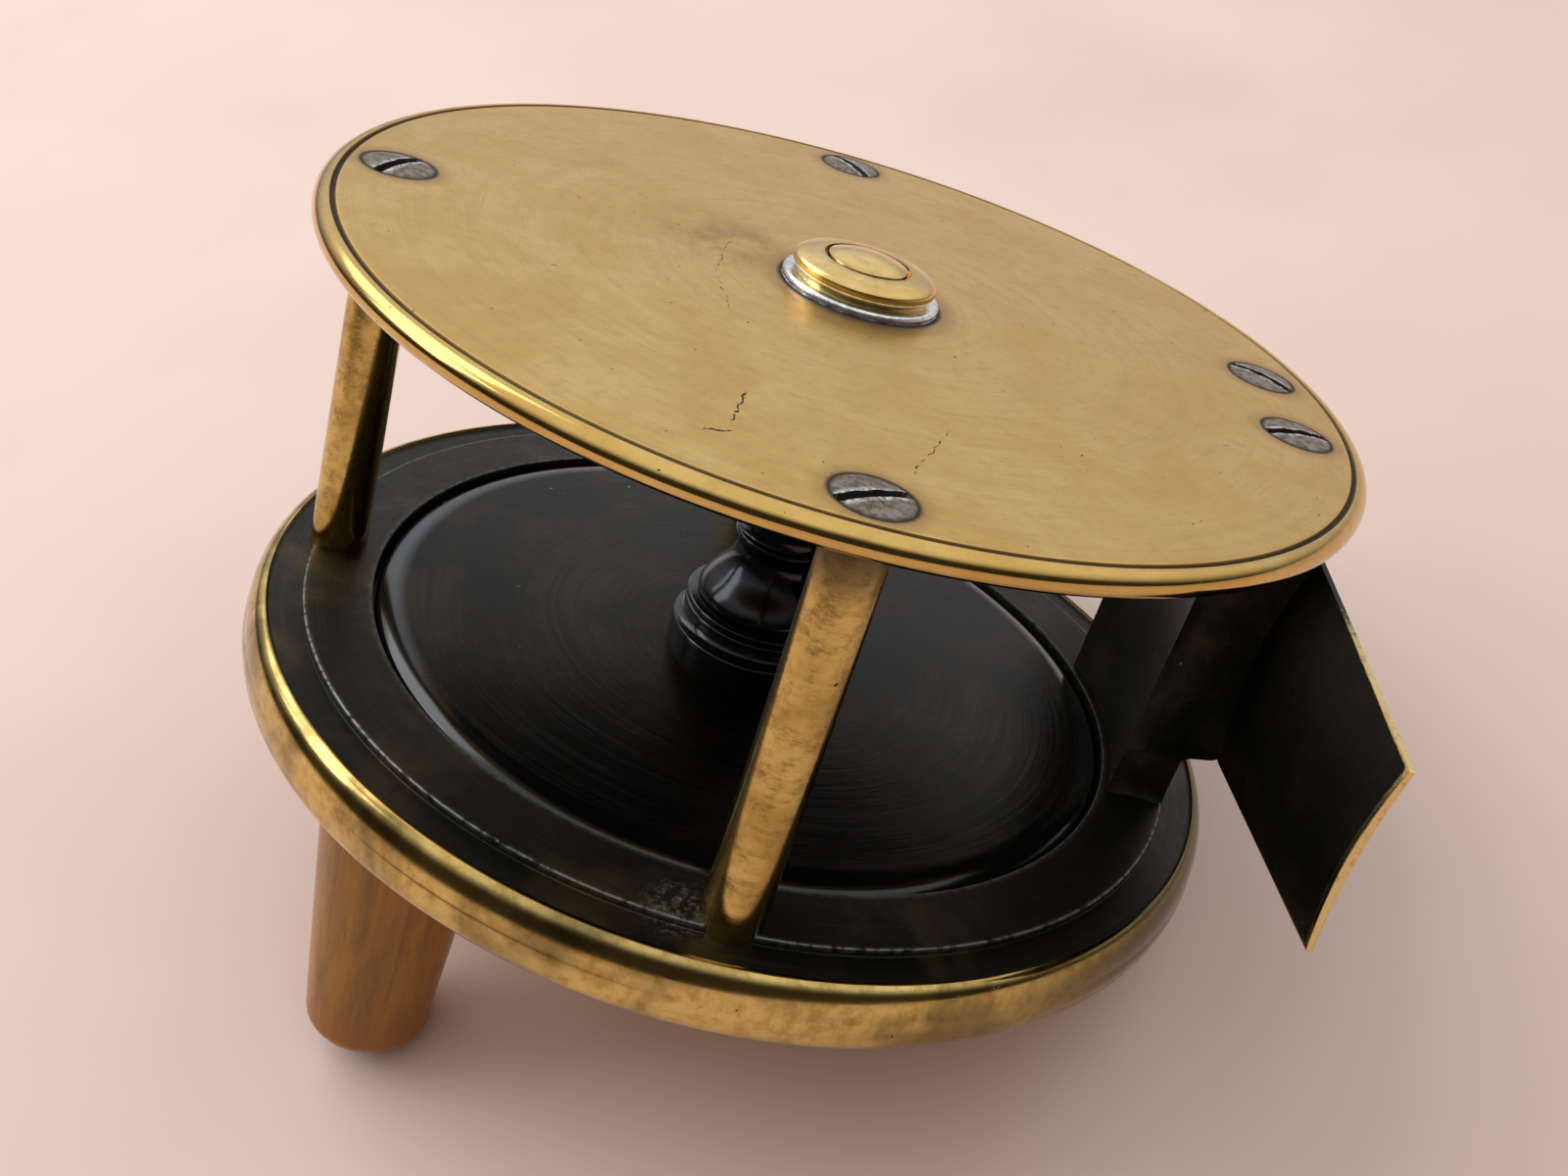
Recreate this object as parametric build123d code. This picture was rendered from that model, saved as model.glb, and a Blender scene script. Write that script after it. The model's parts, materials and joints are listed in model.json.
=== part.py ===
from build123d import *
import os
from math import asin, atan2, cos, degrees, hypot, pi, radians, sin, sqrt

# A brass plate-wind fishing reel, lying on the end of its own handle and the edge of its front rim.
#
# Every piece is modelled in the reel's frame: the spindle is the Z axis, z = 0 is the outer face of
# the back plate, +Z points out of that plate, and the foot is on the +X side. At the end one
# placement lays the whole reel down on the surface z = 0.

# ---- driving sizes, in mm ----

# back plate
plate_radius = 50.8
plate_thickness = 2.4
rim_line_inset = 1.6
line_width = 0.5
line_depth = 0.25

# cage: pillars between the plates
plate_gap = 38.4
pillar_inset = 6.2
pillar_top_radius = 2.8
pillar_base_radius = 2.9
pillar_spigot_radius = 1.9
pillar_angles = (90, 180, 270)

# front plate
rim_overhang = 0.9
rim_depth = 7.8
rim_wall = 3.5
rim_top_round = 1.6
rim_bottom_round = 2.2
rim_bulge = 0.15
lip_drop = 0.4
step_inset = 4.1
step_depth = 0.8
step_edge = 0.15
web_thickness = 2.2

# spool
flange_margin = 2.2
flange_thickness = 2.4
flange_shoulder_width = 3.0
flange_shoulder_depth = 1.4
rear_flange_inset = 1.0
rear_flange_thickness = 1.8
arbor_drum_radius = 8.5
arbor_drum_height = 5.2
arbor_bell_radius = 7.0
arbor_neck_radius = 4.4
arbor_bead_radius = 5.0
arbor_barrel_radius = 4.5
arbor_neck_height = 11.4
arbor_bead_height = 13.0
arbor_spigot_radius = 5.0
flange_pin_radius = 0.6
flange_pin_circle = 6.2
flange_pin_depth = 1.6

# spindle, its bushes and the boss on the back plate
spindle_radius = 3.0
bush_body_radius = 4.5
boss_washer_radius = 7.8
boss_washer_thickness = 0.8
collar_radius = 7.1
collar_thickness = 2.2
collar_round = 0.8
collar_undercut = 0.3
cap_head_radius = 3.95
cap_groove_width = 0.4
cap_head_depth = 0.8
cap_rise = 0.8
cap_dome = 0.7
cap_shank_radius = 3.6
cap_shank_length = 1.2
front_bush_radius = 5.5

# check: ratchet wheel, pawl and spring between the back plate and the rear flange
check_space = 3.6
wheel_thickness = 2.2
wheel_teeth = 24
wheel_radius = 8.5
tooth_depth = 1.1
tooth_land = 0.3
pawl_angle = 225
pawl_pivot_radius = 13.0
pawl_boss_radius = 2.3
pawl_tail = 3.4
pawl_thickness = 1.5
pawl_point_gap = 0.35
pawl_point_width = 0.3
pawl_screw_radius = 1.2
pawl_screw_head_radius = 2.2
pawl_screw_head_height = 0.75
spring_leaf = 0.4
spring_half_span = 9.0
spring_tab = 5.0
spring_tab_thickness = 0.6
spring_screw_radius = 0.9
spring_screw_head_radius = 1.7

# winding plate and handle
winding_thickness = 2.2
square_side = 4.2
stud_radius = 2.0
nut_radius = 4.6
nut_height = 2.2
handle_angle = -139.5
handle_inset = 0.2
grip_length = 31.9
grip_base_radius = 8.4
grip_tip_radius = 6.1
grip_base_round = 0.8
grip_tip_round = 2.5
grip_washer_radius = 7.6
grip_washer_thickness = 0.8
peg_radius = 2.5
peg_foot_radius = 2.0
peg_neck_radius = 1.7
end_washer_radius = 3.5
end_washer_thickness = 0.9
peg_head_radius = 2.6
peg_head_height = 0.7
tip_recess_radius = 3.9
tip_recess_depth = 2.7

# foot and its bracket
foot_length = 92.4
foot_end_half_width = 9.6
foot_mid_half_width = 12.0
foot_thickness = 1.6
foot_lip_thickness = 0.55
foot_drop = 20.2
bracket_clearance = 1.3
bracket_depth = 5.0
bracket_neck = 0.9
bracket_let_in = 0.9
bracket_inner_half_width = 12.3
bracket_outer_half_width = 16.2
bracket_cove = 0.8
foot_screw_spread = 7.2
foot_screw_depth = 7.0
rivet_radius = 1.6
rivet_spacing = 10.0
rivet_depth = 4.0
rivet_head_radius = 2.6
rivet_head_depth = 1.0

# screws: countersunk heads with a low crown and a slot
screw_head_radius = 3.5
screw_shank_radius = 1.6
screw_crown = 0.35
pillar_screw_depth = 7.0
slot_width = 0.9
slot_depth = 0.8
back_screw_slots = (-55, 66, 31)
foot_screw_slots = (17, -35)
front_screw_head_radius = 2.6
front_screw_shank_radius = 1.4

# fits
seat = 0.02
running_fit = 0.04
flange_gap = 0.4
winding_side_gap = 0.4
winding_face_gap = 0.2
end_float = 0.2
grip_fit = 0.08
grip_end_gap = 0.1
pawl_play = 0.1

# ---- places worked out from those sizes ----

back_inner_z = -plate_thickness
annulus_z = back_inner_z - plate_gap
rim_radius = plate_radius + rim_overhang
rim_bottom_z = annulus_z - rim_depth
pillar_circle = plate_radius - pillar_inset
flange_radius = pillar_circle - pillar_base_radius - flange_margin
opening_radius = flange_radius + flange_gap
step_radius = plate_radius - step_inset
step_z = annulus_z - step_depth
lip_z = annulus_z - lip_drop
lip_radius = rim_radius - rim_top_round

flange_top_z = annulus_z
flange_bottom_z = flange_top_z - flange_thickness
web_top_z = flange_bottom_z - flange_gap
web_bottom_z = web_top_z - web_thickness
winding_top_z = web_bottom_z - winding_face_gap
winding_bottom_z = winding_top_z - winding_thickness
winding_recess_radius = rim_radius - rim_wall
winding_radius = winding_recess_radius - winding_side_gap
handle_circle = winding_radius - grip_base_radius - handle_inset

rear_outer_z = back_inner_z - check_space
rear_inner_z = rear_outer_z - rear_flange_thickness
rear_flange_radius = flange_radius - rear_flange_inset
wheel_top_z = rear_outer_z + wheel_thickness
bush_nose_z = wheel_top_z + end_float
collar_top_z = boss_washer_thickness + collar_thickness
cap_seat_z = collar_top_z - cap_head_depth
cap_shank_z = cap_seat_z - cap_shank_length
spindle_back_z = cap_shank_z - end_float
pawl_top_z = back_inner_z - 0.9
pawl_bottom_z = pawl_top_z - pawl_thickness

grip_top_z = winding_bottom_z - grip_washer_thickness - grip_end_gap
grip_tip_z = grip_top_z - grip_length
shoulder_z = grip_tip_z + tip_recess_depth - grip_end_gap

bracket_inner_x = flange_radius + bracket_clearance
foot_face_x = bracket_inner_x + bracket_depth
foot_outer_x = foot_face_x + foot_thickness
foot_screw_x = bracket_inner_x + bracket_depth / 2


# ---- shared shapes ----


def turned(points):
    """A solid turned about the spindle from an outline of (radius, z) points."""
    return revolve(Plane.XZ * make_face(Polyline(*points, close=True)), Axis.Z)


def turned_edges(edges):
    """A solid turned about the spindle from a closed outline of lines and arcs."""
    return revolve(Plane.XZ * make_face(Curve() + edges), Axis.Z)


def rod(radius, z_low, z_high, x=0.0, y=0.0):
    """A cylinder along Z between two heights."""
    return Pos(x, y, z_low) * Cylinder(radius, z_high - z_low, align=(Align.CENTER, Align.CENTER, Align.MIN))


def ring(outer, inner, z_low, z_high):
    """A plain ring about the spindle."""
    return rod(outer, z_low, z_high) - rod(inner, z_low - 1, z_high + 1)


def on_circle(radius, angle):
    """The x and y of a point at a radius and an angle about the spindle."""
    return radius * cos(radians(angle)), radius * sin(radians(angle))


def countersink(head_radius, shank_radius, z_face, into):
    """The cone under a screw head that is flush with z_face; into is the direction of the shank."""
    depth = head_radius - shank_radius
    return turned(
        [
            (0, z_face - into),
            (head_radius, z_face - into),
            (head_radius, z_face),
            (shank_radius, z_face + into * depth),
            (0, z_face + into * depth),
        ]
    )


def slotted_screw(head_radius, shank_radius, length, crown, slot_angle):
    """A countersunk screw, head up, its rim flush with z = 0, with a low crown and a slot."""
    cone = head_radius - shank_radius
    outline = [
        Line((0, crown), (0, -length)),
        Line((0, -length), (shank_radius, -length)),
        Line((shank_radius, -length), (shank_radius, -cone)),
        Line((shank_radius, -cone), (head_radius, 0)),
        RadiusArc((head_radius, 0), (0, crown), -(head_radius**2 + crown**2) / (2 * crown)),
    ]
    slot = Pos(0, 0, crown - slot_depth / 2) * Box(3 * head_radius, slot_width, slot_depth)
    return turned_edges(outline) - Rot(0, 0, slot_angle) * slot


# ---- cage ----


def foot_screw_places():
    return [(foot_screw_x, -foot_screw_spread), (foot_screw_x, foot_screw_spread)]


def pillar_places():
    return [on_circle(pillar_circle, a) for a in pillar_angles]


def back_plate():
    """A flat disc with a half-round edge, an engraved line beside it, and countersunk holes."""
    edge = plate_thickness / 2
    line_r = plate_radius - rim_line_inset
    outline = [
        Line((0, 0), (plate_radius - edge, 0)),
        ThreePointArc((plate_radius - edge, 0), (plate_radius, -edge), (plate_radius - edge, -2 * edge)),
        Line((plate_radius - edge, -2 * edge), (0, -2 * edge)),
        Line((0, -2 * edge), (0, 0)),
    ]
    plate = turned_edges(outline) - rod(bush_body_radius + seat, -2 * plate_thickness, 1)
    plate -= turned([(line_r - line_width / 2, 0.1), (line_r + line_width / 2, 0.1), (line_r, -line_depth)])
    for x, y in pillar_places() + foot_screw_places():
        plate -= Pos(x, y, 0) * countersink(screw_head_radius + seat, screw_shank_radius + seat, 0, -1)
        plate -= rod(screw_shank_radius + seat, -2 * plate_thickness, 0, x, y)
    for x, y in [pawl_pivot()] + spring_screw_places():
        plate -= rod(spring_screw_radius, back_inner_z - 1, back_inner_z + plate_thickness * 0.6, x, y)
    return plate


def rim_bottom_arc():
    """The centre of the rounded lower edge of the front rim, as (radius, z)."""
    return rim_radius - rim_bottom_round, rim_bottom_z + rim_bottom_round


def front_plate():
    """A thick disc: recessed inside for the spool flange and outside for the winding plate.

    Inside, a raised band carries the pillars; outside it the face steps down and meets the round rim.
    """
    low_r, low_z = rim_bottom_arc()
    high_z = lip_z - rim_top_round
    slant = sqrt(0.5)
    cove = lip_z - step_z
    outline = [
        Line((0, web_top_z), (opening_radius, web_top_z)),
        Line((opening_radius, web_top_z), (opening_radius, annulus_z)),
        Line((opening_radius, annulus_z), (step_radius - step_edge, annulus_z)),
        Line((step_radius - step_edge, annulus_z), (step_radius, annulus_z - step_edge)),
        Line((step_radius, annulus_z - step_edge), (step_radius, step_z)),
        Line((step_radius, step_z), (lip_radius - cove, step_z)),
        ThreePointArc(
            (lip_radius - cove, step_z),
            (lip_radius - cove + cove * slant, lip_z - cove * slant),
            (lip_radius, lip_z),
        ),
        ThreePointArc(
            (lip_radius, lip_z),
            (lip_radius + rim_top_round * slant, high_z + rim_top_round * slant),
            (rim_radius, high_z),
        ),
        ThreePointArc(
            (rim_radius, high_z), (rim_radius + rim_bulge, (high_z + low_z) / 2), (rim_radius, low_z)
        ),
        ThreePointArc(
            (rim_radius, low_z),
            (low_r + rim_bottom_round * slant, low_z - rim_bottom_round * slant),
            (low_r, rim_bottom_z),
        ),
        Line((low_r, rim_bottom_z), (winding_recess_radius, rim_bottom_z)),
        Line((winding_recess_radius, rim_bottom_z), (winding_recess_radius, web_bottom_z)),
        Line((winding_recess_radius, web_bottom_z), (0, web_bottom_z)),
        Line((0, web_bottom_z), (0, web_top_z)),
    ]
    plate = turned_edges(outline) - rod(front_bush_radius + seat, rim_bottom_z, annulus_z)
    for x, y in pillar_places():
        plate -= rod(pillar_base_radius + seat, step_z, annulus_z + 1, x, y)
        plate -= rod(pillar_spigot_radius + seat, rim_bottom_z, annulus_z + 1, x, y)
    for x, y in foot_screw_places():
        head = countersink(front_screw_head_radius + seat, front_screw_shank_radius + seat, web_bottom_z, 1)
        plate -= Pos(x, y, 0) * head
        plate -= rod(front_screw_shank_radius + seat, rim_bottom_z, annulus_z + 1, x, y)
    return plate


def pillar(angle):
    """A round pillar, a little stouter at its base, let into the front plate and riveted by a spigot."""
    body = turned(
        [
            (0, web_bottom_z + winding_face_gap),
            (pillar_spigot_radius, web_bottom_z + winding_face_gap),
            (pillar_spigot_radius, step_z),
            (pillar_base_radius, step_z),
            (pillar_base_radius, annulus_z),
            (pillar_top_radius, back_inner_z),
            (0, back_inner_z),
        ]
    )
    body -= rod(screw_shank_radius + seat, back_inner_z - pillar_screw_depth - 0.5, 1)
    return Pos(*on_circle(pillar_circle, angle), 0) * body


def pillar_screws():
    length = plate_thickness + pillar_screw_depth
    return [
        Pos(x, y, 0) * slotted_screw(screw_head_radius, screw_shank_radius, length, screw_crown, turn)
        for (x, y), turn in zip(pillar_places(), back_screw_slots)
    ]


def foot_screws_back():
    length = plate_thickness + foot_screw_depth
    return [
        Pos(x, y, 0) * slotted_screw(screw_head_radius, screw_shank_radius, length, screw_crown, turn)
        for (x, y), turn in zip(foot_screw_places(), foot_screw_slots)
    ]


def foot_screws_front():
    """Screws from the winding side into the bracket, sunk so that they clear the winding plate."""
    length = annulus_z - web_bottom_z + foot_screw_depth
    cone = front_screw_head_radius - front_screw_shank_radius
    outline = [
        (0, 0),
        (front_screw_head_radius, 0),
        (front_screw_shank_radius, cone),
        (front_screw_shank_radius, length),
        (0, length),
    ]
    slot = Box(3 * front_screw_head_radius, slot_width, slot_depth)
    screw = turned(outline) - slot
    return [Pos(x, y, web_bottom_z) * screw for x, y in foot_screw_places()]


# ---- foot ----


def foot_section(y, half_width):
    """The foot's section at y: flat on the rod side, rounded on the reel side, with thin lips."""
    lip_x = foot_outer_x - foot_lip_thickness
    low, high = -foot_drop - half_width, -foot_drop + half_width
    outline = Curve() + [
        Line((foot_outer_x, low), (foot_outer_x, high)),
        Line((foot_outer_x, high), (lip_x, high)),
        ThreePointArc((lip_x, high), (foot_face_x, -foot_drop), (lip_x, low)),
        Line((lip_x, low), (foot_outer_x, low)),
    ]
    return Pos(0, y, 0) * (Plane.XZ * make_face(outline))


def foot_blank():
    end = foot_length / 2
    middle = bracket_outer_half_width
    ends = foot_end_half_width
    widths = [(-end, ends), (-middle, foot_mid_half_width), (middle, foot_mid_half_width), (end, ends)]
    return loft([foot_section(y, w) for y, w in widths], ruled=True)


def rivet_places():
    return [-rivet_spacing, 0.0, rivet_spacing]


def foot_rivet(y, clearance=0.0):
    """A flush rivet along X: a conical head in the foot and a shank in the bracket."""
    head = rivet_head_radius + clearance
    shank = rivet_radius + clearance
    outline = [(0, 0), (head, 0), (shank, -rivet_head_depth), (shank, -foot_thickness - rivet_depth)]
    body = turned(outline + [(0, -foot_thickness - rivet_depth)])
    return Pos(foot_outer_x, y, -foot_drop) * Rot(0, 90, 0) * body


def foot_rivets():
    return [foot_rivet(y) for y in rivet_places()]


def foot():
    plate = foot_blank()
    for y in rivet_places():
        plate -= foot_rivet(y, seat)
    return plate


def bracket_outline(outer_x, outer_half):
    """The block's outline in plan, with hollow sides, as a face at z = 0."""
    inner_x, inner_half = bracket_inner_x - bracket_depth, bracket_inner_half_width
    waist = (bracket_inner_x, (inner_half + outer_half) / 2 - bracket_cove)
    outline = Curve() + [
        Line((inner_x, -inner_half), (inner_x, inner_half)),
        ThreePointArc((inner_x, inner_half), waist, (outer_x, outer_half)),
        Line((outer_x, outer_half), (outer_x, -outer_half)),
        ThreePointArc((outer_x, -outer_half), (waist[0], -waist[1]), (inner_x, -inner_half)),
    ]
    return make_face(outline)


def foot_bracket():
    """The block between the plates, turned round the spool inside.

    Behind the foot it spreads and comes forward to carry it; above and below the foot it stands back.
    """
    body = bracket_outline(foot_face_x - bracket_neck, bracket_inner_half_width)
    block = Pos(0, 0, annulus_z) * extrude(body, plate_gap)
    seat_face = bracket_outline(foot_face_x + bracket_let_in, bracket_outer_half_width)
    block += Pos(0, 0, -foot_drop - foot_mid_half_width) * extrude(seat_face, 2 * foot_mid_half_width)
    block -= foot_blank()
    block -= rod(bracket_inner_x, annulus_z - 1, 1)
    for y in rivet_places():
        block -= foot_rivet(y, seat)
    for x, y in foot_screw_places():
        block -= rod(screw_shank_radius + seat, back_inner_z - foot_screw_depth - 0.5, 1, x, y)
        hole_top = annulus_z + foot_screw_depth + 0.5
        block -= rod(front_screw_shank_radius + seat, annulus_z - 1, hole_top, x, y)
    return block


# ---- back boss, bushes and spindle ----


def boss_washer():
    return ring(boss_washer_radius, bush_body_radius + seat, 0, boss_washer_thickness)


def back_bush():
    """A flanged brass bush; its flange is the collar, and a cap closes its outer end."""
    collar = rod(collar_radius, boss_washer_thickness + collar_undercut, collar_top_z)
    bush = fillet(collar.edges().filter_by(GeomType.CIRCLE), collar_round)
    bush += rod(collar_radius - collar_undercut - 0.2, boss_washer_thickness, collar_top_z - collar_round)
    bush += rod(bush_body_radius, bush_nose_z, collar_top_z - 0.1)
    bush -= rod(spindle_radius + running_fit, bush_nose_z - 1, cap_shank_z)
    bush -= rod(cap_shank_radius + seat, cap_shank_z, cap_seat_z)
    bush -= rod(cap_head_radius + cap_groove_width, cap_seat_z, collar_top_z + 1)
    return bush


def boss_cap():
    """A brass plug with a domed head that sits in the collar with a narrow groove around it."""
    top = collar_top_z + cap_rise
    dome_radius = (cap_head_radius**2 + cap_dome**2) / (2 * cap_dome)
    outline = [
        Line((0, cap_shank_z + seat), (cap_shank_radius, cap_shank_z + seat)),
        Line((cap_shank_radius, cap_shank_z + seat), (cap_shank_radius, cap_seat_z)),
        Line((cap_shank_radius, cap_seat_z), (cap_head_radius, cap_seat_z)),
        Line((cap_head_radius, cap_seat_z), (cap_head_radius, top - cap_dome)),
        RadiusArc((cap_head_radius, top - cap_dome), (0, top), -dome_radius),
        Line((0, top), (0, cap_shank_z + seat)),
    ]
    return turned_edges(outline)


def front_bush():
    return ring(front_bush_radius, spindle_radius + running_fit, web_bottom_z - 0.1, web_top_z + 0.2)


def spindle():
    """A steel journal, squared where it drives the winding plate, with a stud for the nut."""
    shaft = rod(spindle_radius, winding_top_z, spindle_back_z)
    shaft += Pos(0, 0, winding_bottom_z + 0.1) * Box(
        square_side, square_side, winding_thickness, align=(Align.CENTER, Align.CENTER, Align.MIN)
    )
    return shaft + rod(stud_radius, winding_bottom_z - nut_height - 0.4, winding_top_z)


# ---- spool ----


def flange_pin_places(turn):
    return [on_circle(flange_pin_circle, turn + step * 120) for step in range(3)]


def spool_front_flange():
    """A disc with a wide rounded shoulder, nested in the front plate level with its face."""
    edge = flange_radius - flange_thickness * 0.3
    shoulder = flange_radius - flange_shoulder_width
    side_top = flange_top_z - flange_shoulder_depth
    slant = 1 - sqrt(0.5)
    outline = [
        Line((arbor_spigot_radius + seat, flange_bottom_z), (edge, flange_bottom_z)),
        Line((edge, flange_bottom_z), (flange_radius, side_top)),
        ThreePointArc(
            (flange_radius, side_top),
            (flange_radius - flange_shoulder_width * slant, flange_top_z - flange_shoulder_depth * slant),
            (shoulder, flange_top_z),
        ),
        Line((shoulder, flange_top_z), (arbor_spigot_radius + seat, flange_top_z)),
        Line((arbor_spigot_radius + seat, flange_top_z), (arbor_spigot_radius + seat, flange_bottom_z)),
    ]
    flange = turned_edges(outline)
    for x, y in flange_pin_places(0):
        flange -= rod(flange_pin_radius + seat, flange_bottom_z - 1, flange_top_z + 1, x, y)
    return flange


def spool_rear_flange():
    flange = ring(rear_flange_radius, arbor_spigot_radius + seat, rear_inner_z, rear_outer_z)
    rims = flange.edges().filter_by(GeomType.CIRCLE).sort_by(SortBy.RADIUS)[-2:]
    flange = fillet(rims, rear_flange_thickness * 0.4)
    for x, y in flange_pin_places(60):
        flange -= rod(flange_pin_radius + seat, rear_inner_z - 1, rear_outer_z + 1, x, y)
    return flange


def spool_arbor():
    """A turned baluster between the flanges, the same at both ends, with a spigot in each flange."""
    middle = (flange_top_z + rear_inner_z) / 2
    base = flange_top_z
    drum_top = base + arbor_drum_height
    neck_z, bead_z = base + arbor_neck_height, base + arbor_bead_height
    half = [
        Line((0, flange_bottom_z), (arbor_spigot_radius, flange_bottom_z)),
        Line((arbor_spigot_radius, flange_bottom_z), (arbor_spigot_radius, base)),
        Line((arbor_spigot_radius, base), (arbor_drum_radius, base)),
        Line((arbor_drum_radius, base), (arbor_drum_radius, drum_top - 0.6)),
        Line((arbor_drum_radius, drum_top - 0.6), (arbor_drum_radius - 0.6, drum_top)),
        Line((arbor_drum_radius - 0.6, drum_top), (arbor_bell_radius, drum_top)),
        Spline(
            (arbor_bell_radius, drum_top),
            (arbor_bell_radius * 0.92, (drum_top * 2 + neck_z) / 3),
            (arbor_neck_radius, neck_z),
            (arbor_bead_radius, bead_z - 0.6),
        ),
        Line((arbor_bead_radius, bead_z - 0.6), (arbor_bead_radius, bead_z + 0.6)),
        Line((arbor_bead_radius, bead_z + 0.6), (arbor_barrel_radius, bead_z + 0.9)),
        Line((arbor_barrel_radius, bead_z + 0.9), (arbor_barrel_radius, middle)),
        Line((arbor_barrel_radius, middle), (0, middle)),
        Line((0, middle), (0, flange_bottom_z)),
    ]
    front_half = turned_edges(half)
    rear_half = mirror(front_half, Plane.XY.offset(middle))
    arbor = front_half + rear_half
    arbor &= rod(arbor_drum_radius + 1, flange_bottom_z, rear_outer_z)
    arbor -= rod(spindle_radius + seat, flange_bottom_z - 1, rear_outer_z + 1)
    for x, y in flange_pin_places(0):
        arbor -= rod(flange_pin_radius + seat, flange_bottom_z - 1, base + flange_pin_depth + 0.1, x, y)
    for x, y in flange_pin_places(60):
        arbor -= rod(flange_pin_radius + seat, rear_inner_z - flange_pin_depth - 0.1, rear_outer_z + 1, x, y)
    return arbor


def flange_pins():
    front = [
        rod(flange_pin_radius, flange_bottom_z, flange_top_z + flange_pin_depth, x, y)
        for x, y in flange_pin_places(0)
    ]
    rear = [
        rod(flange_pin_radius, rear_inner_z - flange_pin_depth, rear_outer_z, x, y)
        for x, y in flange_pin_places(60)
    ]
    return front + rear


# ---- check ----


def pawl_pivot():
    return on_circle(pawl_pivot_radius, pawl_angle)


def beside_pawl(along, across):
    """A point given along the line from the spindle through the pawl, and across that line."""
    a = radians(pawl_angle)
    return along * cos(a) - across * sin(a), along * sin(a) + across * cos(a)


def spring_screw_places():
    seat_line = pawl_pivot_radius + pawl_tail + spring_tab / 2
    across = spring_half_span + spring_tab / 2
    return [beside_pawl(seat_line, -across), beside_pawl(seat_line, across)]


def check_wheel():
    """A wheel of even, pointed teeth, so the pawl clicks the same both ways. A gap faces the pawl."""
    pitch = 2 * pi / wheel_teeth
    land = tooth_land / wheel_radius / 2
    root = wheel_radius - tooth_depth
    start = radians(pawl_angle)
    points = []
    for tooth in range(wheel_teeth):
        gap = start + tooth * pitch
        top = gap + pitch / 2
        points += [(root, gap), (wheel_radius, top - land), (wheel_radius, top + land)]
    outline = Polyline(*[(r * cos(a), r * sin(a)) for r, a in points], close=True)
    wheel = Pos(0, 0, rear_outer_z) * extrude(make_face(outline), wheel_thickness)
    return wheel - rod(spindle_radius + seat, rear_outer_z - 1, wheel_top_z + 1)


def check_pawl():
    """A pointed pawl on its pivot, with a flat tail that the spring bears on."""
    point = wheel_radius - tooth_depth + pawl_point_gap
    tail = pawl_pivot_radius + pawl_tail
    half = pawl_point_width / 2
    side = pawl_boss_radius * 0.85
    outline = Polyline(
        beside_pawl(point, -half),
        beside_pawl(pawl_pivot_radius - 1, -side),
        beside_pawl(tail, -side),
        beside_pawl(tail, side),
        beside_pawl(pawl_pivot_radius - 1, side),
        beside_pawl(point, half),
        close=True,
    )
    pawl = Pos(0, 0, pawl_bottom_z) * extrude(make_face(outline), pawl_thickness)
    pawl += rod(pawl_boss_radius, pawl_bottom_z, pawl_top_z, *pawl_pivot())
    return pawl - rod(pawl_screw_radius + running_fit, pawl_bottom_z - 1, 0, *pawl_pivot())


def check_pawl_screw():
    """A shoulder screw: a thread in the plate, a collar that spaces the pawl, a shoulder, a head."""
    thread_top = back_inner_z + plate_thickness * 0.6 - 0.1
    shoulder_low = pawl_bottom_z - pawl_play
    screw = rod(spring_screw_radius - seat, back_inner_z, thread_top)
    screw += rod(pawl_boss_radius * 0.8, pawl_top_z + pawl_play, back_inner_z)
    screw += rod(pawl_screw_radius, shoulder_low, pawl_top_z + pawl_play)
    screw += rod(pawl_screw_head_radius, shoulder_low - pawl_screw_head_height, shoulder_low)
    slot_z = shoulder_low - pawl_screw_head_height
    screw -= Pos(0, 0, slot_z) * Box(3 * pawl_screw_head_radius, 0.6, 0.8)
    x, y = pawl_pivot()
    return Pos(x, y, 0) * screw


def check_spring():
    """A leaf across the pawl's tail, with a tab at each end screwed to the back plate."""
    face = pawl_pivot_radius + pawl_tail + 2 * pawl_play
    end = spring_half_span + spring_tab
    outer = face + spring_leaf
    leaf_outline = Polyline(
        beside_pawl(face, -end),
        beside_pawl(face, end),
        beside_pawl(outer, end),
        beside_pawl(outer, -end),
        close=True,
    )
    spring = Pos(0, 0, pawl_bottom_z) * extrude(make_face(leaf_outline), back_inner_z - pawl_bottom_z)
    for side in (-1, 1):
        tab_outline = Polyline(
            beside_pawl(outer, side * spring_half_span),
            beside_pawl(outer, side * end),
            beside_pawl(face + spring_tab, side * end),
            beside_pawl(face + spring_tab, side * spring_half_span),
            close=True,
        )
        tab = extrude(make_face(tab_outline), spring_tab_thickness)
        spring += Pos(0, 0, back_inner_z - spring_tab_thickness) * tab
    for x, y in spring_screw_places():
        spring -= rod(spring_screw_radius + seat, pawl_bottom_z, 0, x, y)
    return spring


def check_spring_screws():
    head_top = back_inner_z - spring_tab_thickness
    thread_top = back_inner_z + plate_thickness * 0.6 - 0.1
    screws = []
    for x, y in spring_screw_places():
        screw = rod(spring_screw_radius - seat, head_top, thread_top)
        screw += rod(spring_screw_head_radius, head_top - 1.0, head_top)
        screw -= Pos(0, 0, head_top - 1.0) * Box(3 * spring_screw_head_radius, 0.5, 0.8)
        screws.append(Pos(x, y, 0) * screw)
    return screws


# ---- winding plate and handle ----


def handle_place():
    return on_circle(handle_circle, handle_angle)


def winding_plate():
    """The disc in the front rim's recess: a square hole drives it and the handle peg is riveted in."""
    plate = rod(winding_radius, winding_bottom_z, winding_top_z)
    plate = chamfer(plate.edges().filter_by(GeomType.CIRCLE), 0.3)
    plate -= Box(square_side + 2 * seat, square_side + 2 * seat, 4 * abs(rim_bottom_z))
    x, y = handle_place()
    plate -= rod(peg_foot_radius + seat, winding_bottom_z - 1, winding_top_z + 1, x, y)
    return plate


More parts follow.
